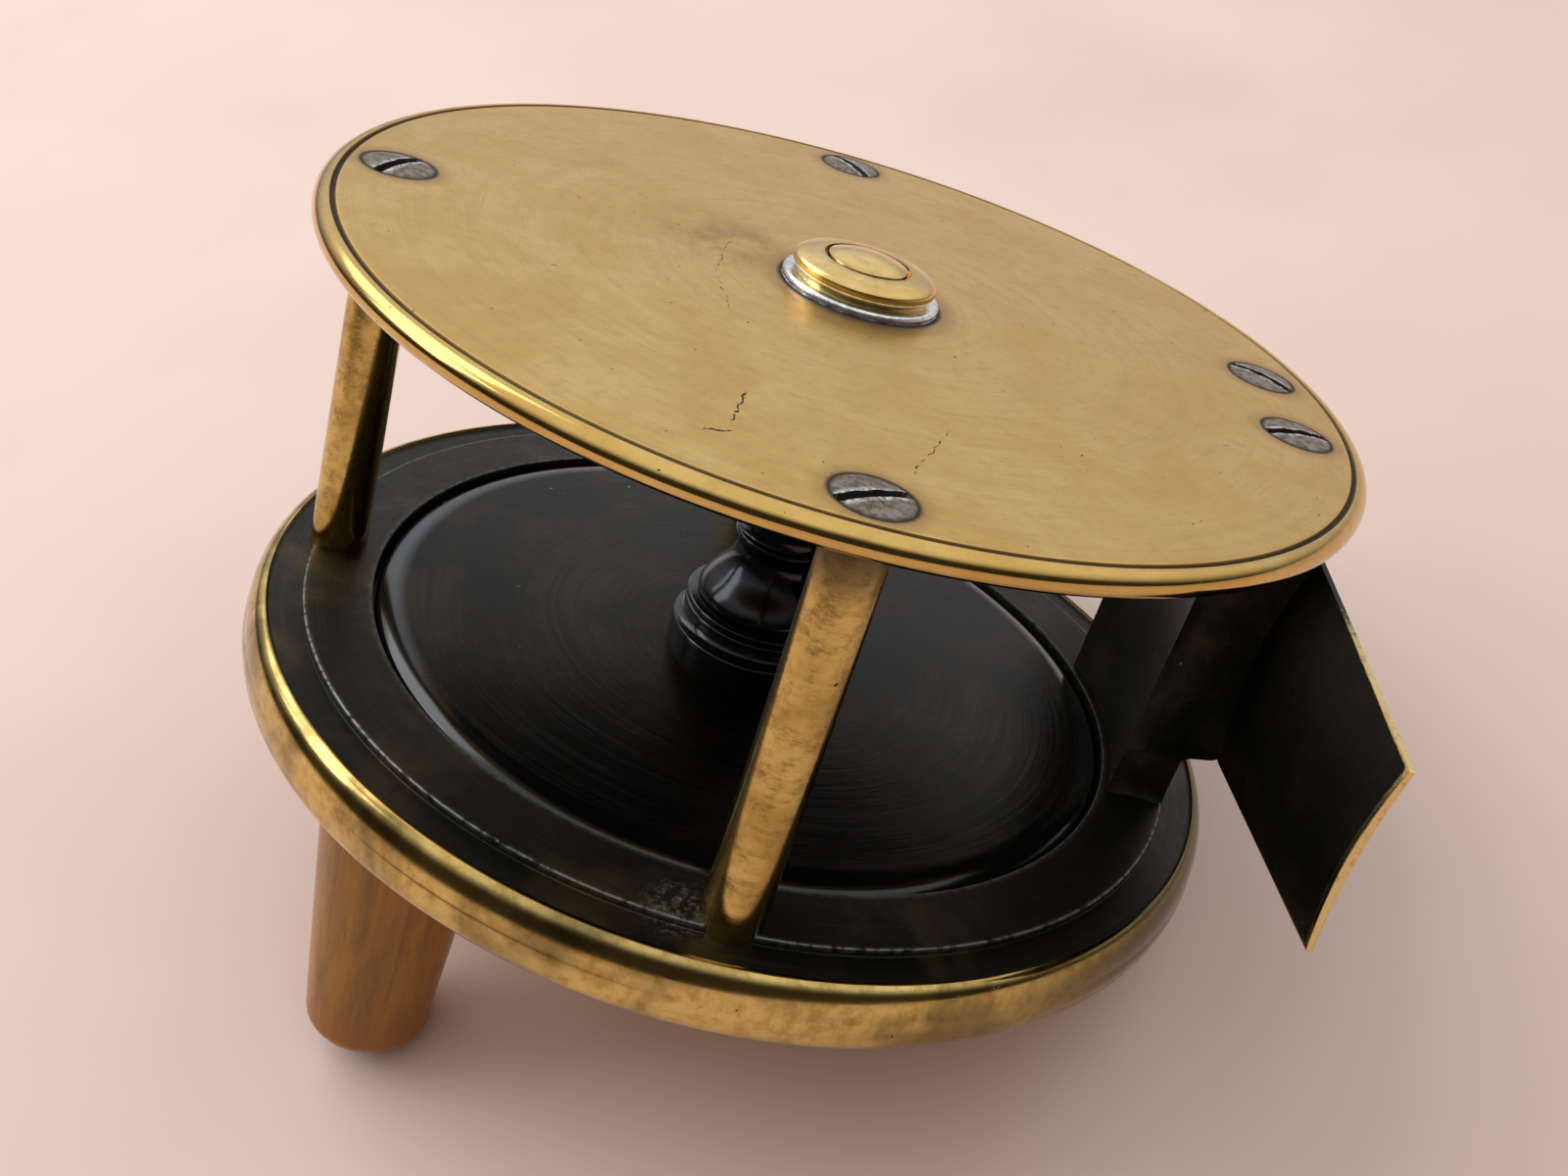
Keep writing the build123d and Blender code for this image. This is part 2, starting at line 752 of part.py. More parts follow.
def winding_plate_nut():
    nut = rod(nut_radius, winding_bottom_z - nut_height, winding_bottom_z)
    nut = chamfer(nut.edges().group_by(Axis.Z)[0], 0.5)
    nut -= rod(stud_radius + seat, winding_bottom_z - nut_height - 1, winding_bottom_z + 1)
    return nut - Pos(0, 0, winding_bottom_z - nut_height) * Box(3 * nut_radius, 1.0, 1.6)


def handle_washer():
    low = winding_bottom_z - grip_washer_thickness
    washer = ring(grip_washer_radius, peg_radius + seat, low, winding_bottom_z)
    x, y = handle_place()
    return Pos(x, y, 0) * washer


def handle_peg():
    """The steel axle of the grip: a foot in the winding plate, a neck and a riveted head at the tip."""
    washer_low = shoulder_z - end_washer_thickness
    outline = [
        (0, winding_top_z - seat),
        (peg_foot_radius, winding_top_z - seat),
        (peg_foot_radius, winding_bottom_z),
        (peg_radius, winding_bottom_z),
        (peg_radius, shoulder_z),
        (peg_neck_radius, shoulder_z),
        (peg_neck_radius, washer_low),
        (peg_head_radius, washer_low),
        (peg_head_radius * 0.7, washer_low - peg_head_height),
        (0, washer_low - peg_head_height),
    ]
    x, y = handle_place()
    return Pos(x, y, 0) * turned(outline)


def handle_end_washer():
    washer = ring(end_washer_radius, peg_neck_radius + seat, shoulder_z - end_washer_thickness, shoulder_z)
    x, y = handle_place()
    return Pos(x, y, 0) * washer


def handle_grip():
    """A tapered horn grip, bored for the peg, rounded at both ends and recessed at its tip."""
    outline = [(0, grip_tip_z), (grip_tip_radius, grip_tip_z), (grip_base_radius, grip_top_z), (0, grip_top_z)]
    grip = turned(outline)
    grip = fillet(grip.edges().group_by(Axis.Z)[0], grip_tip_round)
    grip = fillet(grip.edges().group_by(Axis.Z)[-1], grip_base_round)
    grip -= rod(peg_radius + grip_fit, grip_tip_z - 1, grip_top_z + 1)
    grip -= rod(tip_recess_radius, grip_tip_z - 1, grip_tip_z + tip_recess_depth)
    x, y = handle_place()
    return Pos(x, y, 0) * grip


# ---- how the reel lies ----


def lying_angle():
    """The tilt at which a flat surface touches both the handle's rounded tip and the front rim.

    Both edges are round in the plane through the spindle and the handle, so the surface is the
    common tangent of two circles.
    """
    rim_r, rim_z = rim_bottom_arc()
    taper = (grip_base_radius - grip_tip_radius) / grip_length
    tip_r = grip_tip_radius + taper * grip_tip_round - grip_tip_round * sqrt(1 + taper**2)
    across = rim_r + handle_circle - tip_r
    rise = rim_z - (grip_tip_z + grip_tip_round)
    return degrees(atan2(rise, across) + asin((grip_tip_round - rim_bottom_round) / hypot(across, rise)))


def build():
    nodes = {
        "back_plate": back_plate(),
        "front_plate": front_plate(),
        "pillar_screws": pillar_screws(),
        "foot_screws_back": foot_screws_back(),
        "foot_screws_front": foot_screws_front(),
        "foot": foot(),
        "foot_bracket": foot_bracket(),
        "foot_rivets": foot_rivets(),
        "boss_washer": boss_washer(),
        "back_bush": back_bush(),
        "boss_cap": boss_cap(),
        "front_bush": front_bush(),
        "spindle": spindle(),
        "spool_arbor": spool_arbor(),
        "spool_front_flange": spool_front_flange(),
        "spool_rear_flange": spool_rear_flange(),
        "flange_pins": flange_pins(),
        "check_wheel": check_wheel(),
        "check_pawl": check_pawl(),
        "check_pawl_screw": check_pawl_screw(),
        "check_spring": check_spring(),
        "check_spring_screws": check_spring_screws(),
        "winding_plate": winding_plate(),
        "winding_plate_nut": winding_plate_nut(),
        "handle_washer": handle_washer(),
        "handle_peg": handle_peg(),
        "handle_grip": handle_grip(),
        "handle_end_washer": handle_end_washer(),
    }
    for number, angle in enumerate(pillar_angles, 1):
        nodes[f"pillar_{number}"] = pillar(angle)
    return nodes


def as_shape(piece):
    return Compound(children=piece) if isinstance(piece, list) else piece


# the handle's side goes to -X, then the spindle leans over until both points touch the surface
lean = Location((0, 0, 0), (0, 1, 0), lying_angle()) * Location((0, 0, 0), (0, 0, 1), -(handle_angle + 180))
leaning = {name: lean * as_shape(piece) for name, piece in build().items()}
box = Compound(children=list(leaning.values())).bounding_box()
placement = Pos(-(box.min.X + box.max.X) / 2, -(box.min.Y + box.max.Y) / 2, -box.min.Z) * lean

os.makedirs("parts", exist_ok=True)
for name, piece in build().items():
    export_step(placement * as_shape(piece), f"parts/{name}.step")
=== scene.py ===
import json
import math

import bmesh
import bpy
import numpy as np
from mathutils import Matrix, Vector


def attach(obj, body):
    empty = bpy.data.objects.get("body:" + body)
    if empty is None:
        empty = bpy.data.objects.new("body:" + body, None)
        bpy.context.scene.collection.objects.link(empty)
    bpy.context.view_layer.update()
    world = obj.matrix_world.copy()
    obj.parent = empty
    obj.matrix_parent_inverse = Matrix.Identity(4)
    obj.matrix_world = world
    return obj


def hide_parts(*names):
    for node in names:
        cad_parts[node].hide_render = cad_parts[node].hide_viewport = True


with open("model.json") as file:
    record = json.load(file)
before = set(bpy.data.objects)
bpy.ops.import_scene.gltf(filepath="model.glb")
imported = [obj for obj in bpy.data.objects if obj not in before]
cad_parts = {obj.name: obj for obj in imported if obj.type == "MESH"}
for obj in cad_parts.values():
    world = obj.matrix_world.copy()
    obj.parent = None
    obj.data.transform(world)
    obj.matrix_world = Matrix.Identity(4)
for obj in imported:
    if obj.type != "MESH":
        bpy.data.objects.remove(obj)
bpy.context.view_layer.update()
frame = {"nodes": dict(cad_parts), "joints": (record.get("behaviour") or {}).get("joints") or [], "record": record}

# ==== The reel's own axes ====
# The reel lies tilted on its handle, so each piece is worked out in the reel's own axes and then turned.
# The spindle is Z, out of the back plate, whose outer face is z = 0. The foot is on the +X side. Sizes are
# in mm.

joints = {joint["name"]: joint for joint in frame["joints"]}
mounts = {mount["name"]: mount for mount in frame["record"]["mounts"]}
spindle_way = np.array(joints["spool_spin"]["axis"])
spindle_way /= np.linalg.norm(spindle_way)
foot_way = np.array(mounts["rod_face"]["axis"])
foot_way -= foot_way @ spindle_way * spindle_way
foot_way /= np.linalg.norm(foot_way)
reel_turn = np.column_stack([foot_way, np.cross(spindle_way, foot_way), spindle_way])
MM = 0.001


def node_points(node):
    """A CAD node's points, as an array in metres."""
    mesh = frame["nodes"][node].data
    points = np.empty(len(mesh.vertices) * 3)
    mesh.vertices.foreach_get("co", points)
    return points.reshape(-1, 3)


spindle_point = np.array(joints["spool_spin"]["pos_m"])
reel_origin = spindle_point + np.max((node_points("back_plate") - spindle_point) @ spindle_way) * spindle_way


def to_row(points):
    """Points in the reel's axes, in mm, turned and moved into the row's axes, in metres."""
    return reel_origin + np.asarray(points) @ reel_turn.T * MM


def to_reel(points):
    """The opposite of to_row: points in the row's axes, in metres, in the reel's axes, in mm."""
    return (np.asarray(points) - reel_origin) @ reel_turn / MM


def reel_box(node):
    """The lowest and highest corners of a CAD node in the reel's axes, in mm."""
    points = to_reel(node_points(node))
    return points.min(0), points.max(0)


# ==== Camera, table and light ====
# A camera above the front edge of the reel, a plain pale table top, two soft windows behind and on the left,
# and a bright wall. The room is dark on the camera's side, so polished brass shows its roundness.

camera_place = np.array((-18.6, -151.0, 49.4))
camera_aim = np.array((0.2, -11.8, -27.1))
camera_roll = math.radians(17.7)
camera_lens = 37.6
camera_sensor = 36.0

camera = bpy.data.objects.new("camera", bpy.data.cameras.new("camera"))
bpy.context.scene.collection.objects.link(camera)
ahead = (camera_aim - camera_place) / np.linalg.norm(camera_aim - camera_place)
level = np.cross(ahead, (0, 0, 1))
level /= np.linalg.norm(level)
above = np.cross(level, ahead)
right = reel_turn @ (math.cos(camera_roll) * level + math.sin(camera_roll) * above)
up = reel_turn @ (math.cos(camera_roll) * above - math.sin(camera_roll) * level)
frame_of_camera = np.eye(4)
frame_of_camera[:3, :] = np.column_stack([right, up, np.cross(right, up), to_row(camera_place)])
camera.matrix_world = Matrix(frame_of_camera.tolist())
camera.data.lens, camera.data.sensor_width = camera_lens, camera_sensor
camera.data.clip_start = 0.01
bpy.context.scene.camera = camera
bpy.context.scene.view_settings.view_transform = "Standard"


def put(tree, kind, inputs, **settings):
    """Adds a shader node: settings are its options, inputs maps sockets to values or to other outputs."""
    node = tree.nodes.new("ShaderNode" + kind)
    for name, value in settings.items():
        setattr(node, name, value)
    for name, value in inputs.items():
        if isinstance(value, bpy.types.NodeSocket):
            tree.links.new(value, node.inputs[name])
        else:
            node.inputs[name].default_value = value
    return node


def maths(tree, operation, *values):
    """One arithmetic node on numbers or sockets."""
    return put(tree, "Math", dict(enumerate(values)), operation=operation).outputs[0]


def fade(tree, value, low, high):
    """Rises smoothly from 0 at low to 1 at high, or falls if low is above high."""
    ends = {"Value": value, "From Min": low, "From Max": high}
    return put(tree, "MapRange", ends, interpolation_type="SMOOTHSTEP").outputs["Result"]


def tint(tree, share, under, over):
    """The colour under, with a share of the colour over."""
    return put(tree, "Mix", {0: share, 6: under, 7: over}, data_type="RGBA").outputs[2]


def grain(tree, place, scale, detail=2.0, roughness=0.5, distortion=0.0):
    """Fractal noise from 0 to 1."""
    inputs = {"Vector": place, "Scale": scale, "Detail": detail, "Roughness": roughness}
    return put(tree, "TexNoise", inputs | {"Distortion": distortion}).outputs[0]


def new_material(name):
    """An empty material with one Principled shader: returns the material, its tree and the shader."""
    material = bpy.data.materials.new(name)
    material.use_nodes = True
    return material, material.node_tree, material.node_tree.nodes["Principled BSDF"]


table_colour = (0.84, 0.645, 0.565, 1)
table_worn = (0.80, 0.60, 0.52, 1)
table_half = 1.5
table = bpy.data.meshes.new("table_top")
corners = [(-table_half, -table_half, 0), (table_half, -table_half, 0)]
corners += [(table_half, table_half, 0), (-table_half, table_half, 0)]
table.from_pydata(corners, [], [(0, 1, 2, 3)])
table_top = bpy.data.objects.new("table_top", table)
bpy.context.scene.collection.objects.link(table_top)
table_finish, tree, shader = new_material("table_top")
place = put(tree, "TexCoord", {}).outputs["Object"]
cloudy = grain(tree, place, 14.0, 3.0)
cloth = tint(tree, fade(tree, cloudy, 0.35, 0.7), table_colour, table_worn)
tree.links.new(cloth, shader.inputs["Base Color"])
shader.inputs["Roughness"].default_value = 0.85
table.materials.append(table_finish)

room = bpy.data.worlds.new("room")
room.use_nodes = True
bpy.context.scene.world = room
tree = room.node_tree
rightward = Vector((right[0], right[1], 0)).normalized()
far = Vector((0, 0, 1)).cross(rightward)
bright_way = Vector((0, 0, 1)) + 0.45 * far + 0.12 * rightward
heading = put(tree, "TexCoord", {}).outputs["Generated"]
toward = put(tree, "VectorMath", {0: heading, 1: bright_way}, operation="DOT_PRODUCT").outputs["Value"]
lit = fade(tree, toward, 0.10, 0.80)
sky = tint(tree, lit, (0.040, 0.036, 0.028, 1), (0.98, 0.985, 1.00, 1))
tree.links.new(sky, tree.nodes["Background"].inputs["Color"])
tree.nodes["Background"].inputs["Strength"].default_value = 1.0


def soft_window(name, place, aim, width, power, colour):
    """A square soft light at one point, turned to face another."""
    light = bpy.data.lights.new(name, "AREA")
    light.size, light.energy, light.color = width, power, colour
    window = bpy.data.objects.new(name, light)
    bpy.context.scene.collection.objects.link(window)
    window.location = place
    window.rotation_euler = (Vector(aim) - Vector(place)).to_track_quat("-Z", "Y").to_euler()


window_place = 0.45 * far - 0.35 * rightward + Vector((0, 0, 0.6))
soft_window("window_behind", window_place, (0, 0, 0.04), 0.5, 1.8, (0.97, 0.99, 1.0))
window_place = 0.12 * far - 0.62 * rightward + Vector((0, 0, 0.52))
soft_window("window_side", window_place, (0, 0, 0.03), 0.36, 1.3, (0.93, 0.97, 1.0))

# ==== Back plate ====
# A flat disc of cast and turned brass, with a half-round edge and an engraved line just inside it. It is
# polished, worn to a soft golden brown, pitted and scratched, and countersunk for five steel screws.


def plus(tree, first, second):
    """A sum of two numbers or sockets."""
    return maths(tree, "ADD", first, second)


def minus(tree, first, second):
    """The first less the second."""
    return maths(tree, "SUBTRACT", first, second)


def times(tree, first, second):
    """A product of two numbers or sockets."""
    return maths(tree, "MULTIPLY", first, second)


def most(tree, first, second):
    """The larger of two numbers or sockets."""
    return maths(tree, "MAXIMUM", first, second)


def marked(tree, name):
    """A vertex attribute of the piece, by its name."""
    return put(tree, "Attribute", {}, attribute_name=name).outputs["Fac"]


def spread(tree, noise, low, high):
    """Noise, which lies mostly from 0.3 to 0.7, turned into values from low to high."""
    ends = {"From Min": 0.3, "From Max": 0.7, "To Min": low, "To Max": high}
    return put(tree, "MapRange", {"Value": noise} | ends).outputs["Result"]


def roughen(tree, shader, height, depth, strength):
    """Raises a shader's surface by a height, where 1 stands for the depth in metres."""
    bump = put(tree, "Bump", {"Height": height, "Distance": depth, "Strength": strength})
    tree.links.new(bump.outputs[0], shader.inputs["Normal"])


def reel_place(tree):
    """A shader's place on the reel, in the reel's axes, in mm."""
    turned = Matrix(reel_turn.tolist()).to_euler()
    inputs = {"Vector": put(tree, "TexCoord", {}).outputs["Object"]}
    inputs |= {"Location": reel_origin, "Rotation": turned}
    in_metres = put(tree, "Mapping", inputs, vector_type="TEXTURE").outputs[0]
    return put(tree, "VectorMath", {0: in_metres, "Scale": 1 / MM}, operation="SCALE").outputs[0]


def new_effect(name, inputs, output):
    """An empty node group with named inputs and one number out: returns it and the two ends to join."""
    group = bpy.data.node_groups.new(name, "ShaderNodeTree")
    for label, kind in inputs.items():
        group.interface.new_socket(name=label, in_out="INPUT", socket_type="NodeSocket" + kind)
    group.interface.new_socket(name=output, in_out="OUTPUT", socket_type="NodeSocketFloat")
    return group, group.nodes.new("NodeGroupInput").outputs, group.nodes.new("NodeGroupOutput").inputs


def effect(tree, group, **inputs):
    """Places a node group in a tree and returns its output. An underscore stands for a space."""
    node = tree.nodes.new("ShaderNodeGroup")
    node.node_tree = group
    for name, value in inputs.items():
        socket = node.inputs[name.replace("_", " ")]
        if isinstance(value, bpy.types.NodeSocket):
            tree.links.new(value, socket)
        else:
            socket.default_value = value
    return node.outputs[0]


def make_turning_marks():
    """Fine lines left by the lathe: noise of the radius and height that changes slowly round the axis."""
    group, given, made = new_effect("turning_marks", {"Place": "Vector", "Lines per mm": "Float"}, "Marks")
    parts = put(group, "SeparateXYZ", {0: given["Place"]}).outputs
    flat = put(group, "CombineXYZ", {0: parts[0], 1: parts[1]}).outputs[0]
    radius = put(group, "VectorMath", {0: flat}, operation="LENGTH").outputs["Value"]
    along = [times(group, part, given["Lines per mm"]) for part in (radius, parts[2])]
    slow = [times(group, part, 0.05) for part in parts[:2]]
    ringed = put(group, "CombineXYZ", {0: along[0], 1: along[1], 2: slow[0]}).outputs[0]
    inputs = {"Vector": ringed, "W": slow[1], "Scale": 1.0, "Detail": 3.0, "Roughness": 0.6}
    group.links.new(put(group, "TexNoise", inputs, noise_dimensions="4D").outputs[0], made[0])
    return group


def make_pits():
    """Small dark pits: round spots of differing size about a share of scattered points."""
    inputs = {"Place": "Vector", "Spacing": "Float", "Share": "Float", "Largest": "Float"}
    group, given, made = new_effect("pits", inputs, "Pits")
    bent = put(group, "TexNoise", {"Vector": given["Place"], "Scale": 2.2, "Detail": 2.0}).outputs["Color"]
    bent = put(group, "VectorMath", {0: bent, "Scale": 0.5}, operation="SCALE").outputs[0]
    place = put(group, "VectorMath", {0: given["Place"], 1: bent}).outputs[0]
    scale = maths(group, "DIVIDE", 1.0, given["Spacing"])
    spots = put(group, "TexVoronoi", {"Vector": place, "Scale": scale}).outputs
    luck = put(group, "SeparateXYZ", {0: spots["Color"]}).outputs
    size = times(group, times(group, luck[1], luck[1]), given["Largest"])
    size = maths(group, "DIVIDE", plus(group, size, 0.03), given["Spacing"])
    inside = minus(group, size, spots["Distance"])
    inside = fade(group, inside, -0.01, 0.02)
    chosen = maths(group, "LESS_THAN", luck[0], given["Share"])
    group.links.new(times(group, inside, chosen), made[0])
    return group


def make_scratch():
    """One straight scratch: 1 within its half width of the line between two points, fading to 0 outside."""
    inputs = {"Place": "Vector", "Start": "Vector", "End": "Vector", "Width": "Float"}
    group, given, made = new_effect("scratch", inputs, "Scratch")
    wobble = put(group, "TexNoise", {"Vector": given["Place"], "Scale": 0.9, "Detail": 3.0}).outputs["Color"]
    wobble = put(group, "VectorMath", {0: wobble, 1: (0.5, 0.5, 0.5)}, operation="SUBTRACT").outputs[0]
    place = put(group, "VectorMath", {0: given["Place"], 1: wobble}).outputs[0]
    out = put(group, "VectorMath", {0: place, 1: given["Start"]}, operation="SUBTRACT").outputs[0]
    run = put(group, "VectorMath", {0: given["End"], 1: given["Start"]}, operation="SUBTRACT").outputs[0]
    done = put(group, "VectorMath", {0: out, 1: run}, operation="DOT_PRODUCT").outputs["Value"]
    whole = put(group, "VectorMath", {0: run, 1: run}, operation="DOT_PRODUCT").outputs["Value"]
    share = put(group, "Math", {0: done, 1: whole}, operation="DIVIDE", use_clamp=True).outputs[0]
    near = put(group, "VectorMath", {0: run, "Scale": share}, operation="SCALE").outputs[0]
    gap = put(group, "VectorMath", {0: out, 1: near}, operation="DISTANCE").outputs["Value"]
    faint = times(group, given["Width"], 0.5)
    group.links.new(fade(group, gap, given["Width"], faint), made[0])
    return group


turning_marks, pits, scratch = make_turning_marks(), make_pits(), make_scratch()


def brass(name, clean, warm, dull, gloss, patch=12.0, spots=0.25, marks=6.0, dirt_and_shade=None, extra=None,
          stain=None, polished=None):
    """Brass with turning marks, warm and dull patches, stains, pits, dirt, and painted shade where an attribute
    carries it.

    clean, warm and dull are its colours, gloss is (least, most) roughness, patch is the size of a patch in
    mm, spots the share of pits, dirt a vertex attribute of dirt and painted shade, extra a function that
    gives a mask of scratches, stain one that gives a mask of brown stains, and polished a vertex attribute
    of bright places.
    """
    material, tree, shader = new_material(name)
    place = reel_place(tree)
    lines = effect(tree, turning_marks, Place=place, Lines_per_mm=marks)
    rings = effect(tree, turning_marks, Place=place, Lines_per_mm=marks / 5)
    patches = grain(tree, place, 1 / patch, 4.0, 0.62, 0.6)
    fine = grain(tree, place, 0.55, 5.0, 0.7)
    shade = plus(tree, times(tree, lines, 0.35), times(tree, fine, 0.65))
    colour = tint(tree, fade(tree, patches, 0.36, 0.66), clean, warm)
    colour = tint(tree, fade(tree, shade, 0.46, 0.72), colour, dull)
    colour = tint(tree, times(tree, fade(tree, rings, 0.45, 0.72), 0.45), colour, dull)
    if stain:
        stained = stain(tree, place)
        colour = tint(tree, stained, colour, (0.30, 0.155, 0.045, 1))
    pits_dirt_and_shade = effect(tree, pits, Place=place, Spacing=2.6, Share=spots, Largest=0.16)
    if extra:
        pits_dirt_and_shade = most(tree, pits_dirt_and_shade, extra(tree, place))
    # This attribute darkens with dirt, and on the pillars it also carries painted shade under the back plate.
    if dirt_and_shade:
        dirt_and_shade_film = marked(tree, dirt_and_shade)
        pits_dirt_and_shade = most(tree, pits_dirt_and_shade, dirt_and_shade_film)
    colour = tint(tree, pits_dirt_and_shade, colour, (0.022, 0.013, 0.006, 1))
    tree.links.new(colour, shader.inputs["Base Color"])
    rough = spread(tree, shade, *gloss)
    rough = plus(tree, rough, times(tree, minus(tree, patches, 0.5), 0.25))
    if polished:
        rubbed = marked(tree, polished)
        rough = put(tree, "Mix", {0: rubbed, 2: rough, 3: 0.13}).outputs[0]
    tree.links.new(plus(tree, rough, times(tree, pits_dirt_and_shade, 0.4)), shader.inputs["Roughness"])
    tree.links.new(minus(tree, 1.0, times(tree, pits_dirt_and_shade, 0.8)), shader.inputs["Metallic"])
    height = plus(tree, times(tree, lines, 0.2), times(tree, rings, 0.9))
    height = minus(tree, height, pits_dirt_and_shade)
    roughen(tree, shader, height, 0.00004, 0.4)
    return material


def arc(centre, radius, start, end, steps):
    """Points on a circle at evenly spaced angles, in degrees."""
    angle = np.radians(np.linspace(start, end, steps))
    return np.column_stack([centre[0] + radius * np.cos(angle), centre[1] + radius * np.sin(angle)])


def line(start, end, steps):
    """Evenly spaced points on a straight line."""
    share = np.linspace(0, 1, steps)[:, None]
    return (1 - share) * np.array(start, float) + share * np.array(end, float)


def turned(profile, columns=360, centre=(0.0, 0.0)):
    """A profile of (radius, z) points carried round an axis along Z through the centre: a grid of points."""
    angle = np.linspace(0, 2 * np.pi, columns, endpoint=False)
    radius, z = np.asarray(profile).T
    x = centre[0] + radius[:, None] * np.cos(angle)
    y = centre[1] + radius[:, None] * np.sin(angle)
    return np.stack([x, y, np.broadcast_to(z[:, None], x.shape)], -1)


def grid_faces(rows, columns, ring):
    """A grid's faces: each cell joins four neighbours. Columns close round, and with ring so do rows."""
    row = np.arange(rows if ring else rows - 1)[:, None]
    column = np.arange(columns)[None, :]
    next_row, next_column = (row + 1) % rows * columns, (column + 1) % columns
    row = row * columns
    corners = [row + column, row + next_column, next_row + next_column, next_row + column]
    return np.stack(corners, -1).reshape(-1, 4)


def make_piece(name, grids, material, body, stands_for, ring=False, marks=None, crease=35):
    """Sews grids of points, in mm in the reel's axes, into one object that rides on a body.

    Poles and seams are closed by merging points that coincide. marks gives vertex attributes, each as a
    function of the finished points in the reel's axes.
    """
    points, faces, count = [], [], 0
    for grid in grids:
        rows, columns = grid.shape[:2]
        points.append(grid.reshape(-1, 3))
        faces.append(grid_faces(rows, columns, ring) + count)
        count += rows * columns
    mesh = bpy.data.meshes.new(name)
    mesh.from_pydata(to_row(np.concatenate(points)).tolist(), [], np.concatenate(faces).tolist())
    shell = bmesh.new()
    shell.from_mesh(mesh)
    bmesh.ops.remove_doubles(shell, verts=shell.verts, dist=1e-7)
    bmesh.ops.recalc_face_normals(shell, faces=shell.faces)
    shell.to_mesh(mesh)
    shell.free()
    mesh.shade_smooth()
    mesh.set_sharp_from_angle(angle=math.radians(crease))
    if marks:
        finished = np.empty(len(mesh.vertices) * 3)
        mesh.vertices.foreach_get("co", finished)
        finished = to_reel(finished.reshape(-1, 3))
        for label, rule in marks.items():
            values = np.clip(rule(finished), 0, 1).astype(np.float32)
            mesh.attributes.new(label, "FLOAT", "POINT").data.foreach_set("value", values)
    mesh.materials.append(material)
    piece = bpy.data.objects.new(name, mesh)
    bpy.context.scene.collection.objects.link(piece)
    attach(piece, body)
    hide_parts(*stands_for)
    return piece


plate_low, plate_high = reel_box("back_plate")
plate_radius = plate_high[1]
plate_under = plate_low[2]
plate_hole = 4.6
line_inset, line_half, line_depth = 1.6, 0.27, 0.3
screw_reach = 3.5
screw_radius = 3.38
well_radius, well_depth = 3.42, 1.1
well_snap = 0.26
screw_band = 39.5
boss_dirt, boss_tarnish = (7.9, 8.5), (8.2, 11.0)
cloud_spot, cloud_reach = (-13.0, 5.0), (1.0, 12.0)

pillar_spots = [(reel_box(f"pillar_{n}")[0][:2] + reel_box(f"pillar_{n}")[1][:2]) / 2 for n in (1, 2, 3)]
foot_screw_low, foot_screw_high = reel_box("foot_screws_back")
foot_screw_x = (foot_screw_low[0] + foot_screw_high[0]) / 2
foot_screw_y = foot_screw_high[1] - screw_reach
foot_screw_spots = [np.array([foot_screw_x, side * foot_screw_y]) for side in (-1, 1)]
screw_spots = pillar_spots + foot_screw_spots


def sink_wells(grid):
    """Lowers the top face inside each screw's circle.

    Points near the circle are moved on to it, so its edge is round and sharp; points inside go down.
    """
    grid = grid.copy()
    top = (grid[..., 2] > -0.01) & (np.hypot(grid[..., 0], grid[..., 1]) < plate_radius - 2)
    for spot in screw_spots:
        away = grid[..., :2] - spot
        gap = np.linalg.norm(away, axis=-1)
        close = top & (np.abs(gap - well_radius) < well_snap)
        grid[close, :2] = spot + away[close] / gap[close][:, None] * well_radius
        grid[top & (gap < well_radius - well_snap), 2] = -well_depth
    return grid


line_r = plate_radius - line_inset
edge = -plate_under / 2
plate_profile = np.vstack([
    line((plate_hole, 0), (screw_band, 0), 16),
    line((screw_band + 0.3, 0), (line_r - line_half - 0.05, 0), 34),
    [(line_r - line_half, -0.02), (line_r - line_half * 0.6, -line_depth)],
    [(line_r + line_half * 0.6, -line_depth)],
    [(line_r + line_half, -0.02), (line_r + line_half + 0.06, 0)],
    arc((plate_radius - edge, -edge), edge, 90, -90, 25),
    line((plate_radius - 3, plate_under), (plate_hole, plate_under), 4),
])


def plate_dirt(points):
    """Dark wax and dirt: full in the engraved line and in the wells of the screws."""
    radius = np.hypot(points[:, 0], points[:, 1])
    dirt_and_shade_film = 1 - np.clip((np.abs(radius - line_r) - line_half * 0.7) / 0.12, 0, 1)
    dirt_and_shade_film = dirt_and_shade_film * (points[:, 2] > -0.5)
    for spot in screw_spots:
        gap = np.linalg.norm(points[:, :2] - spot, axis=1)
        dirt_and_shade_film = np.maximum(dirt_and_shade_film, gap < well_radius + 0.02)
    return dirt_and_shade_film


def plate_polished(points):
    """The half-round edge, which hands have kept bright."""
    return np.clip((np.hypot(points[:, 0], points[:, 1]) - line_r - line_half) / 0.3, 0, 1)


# Each scratch has the place it is measured from, its two ends from there, and its width.
front_screw = pillar_spots[2]
boss_middle = np.zeros(2)
plate_scratches = [
    (front_screw, (-10, 13), (-11, 7), 0.13),
    (front_screw, (-13, 4), (-11, 5), 0.15),
    (front_screw, (7, 16), (3, 5), 0.07),
    (boss_middle, (-13, 6), (-14, -5), 0.07),
    (boss_middle, (-14, -5), (-12, -15), 0.07),
]


def round_spot(tree, place, spot, inner, outer):
    """1 within the inner distance of an axis through the spot, fading to 0 at the outer one."""
    flat = put(tree, "VectorMath", {0: place, 1: (1, 1, 0)}, operation="MULTIPLY").outputs[0]
    centre = (float(spot[0]), float(spot[1]), 0)
    away = put(tree, "VectorMath", {0: flat, 1: centre}, operation="DISTANCE").outputs["Value"]
    return fade(tree, away, outer, inner)


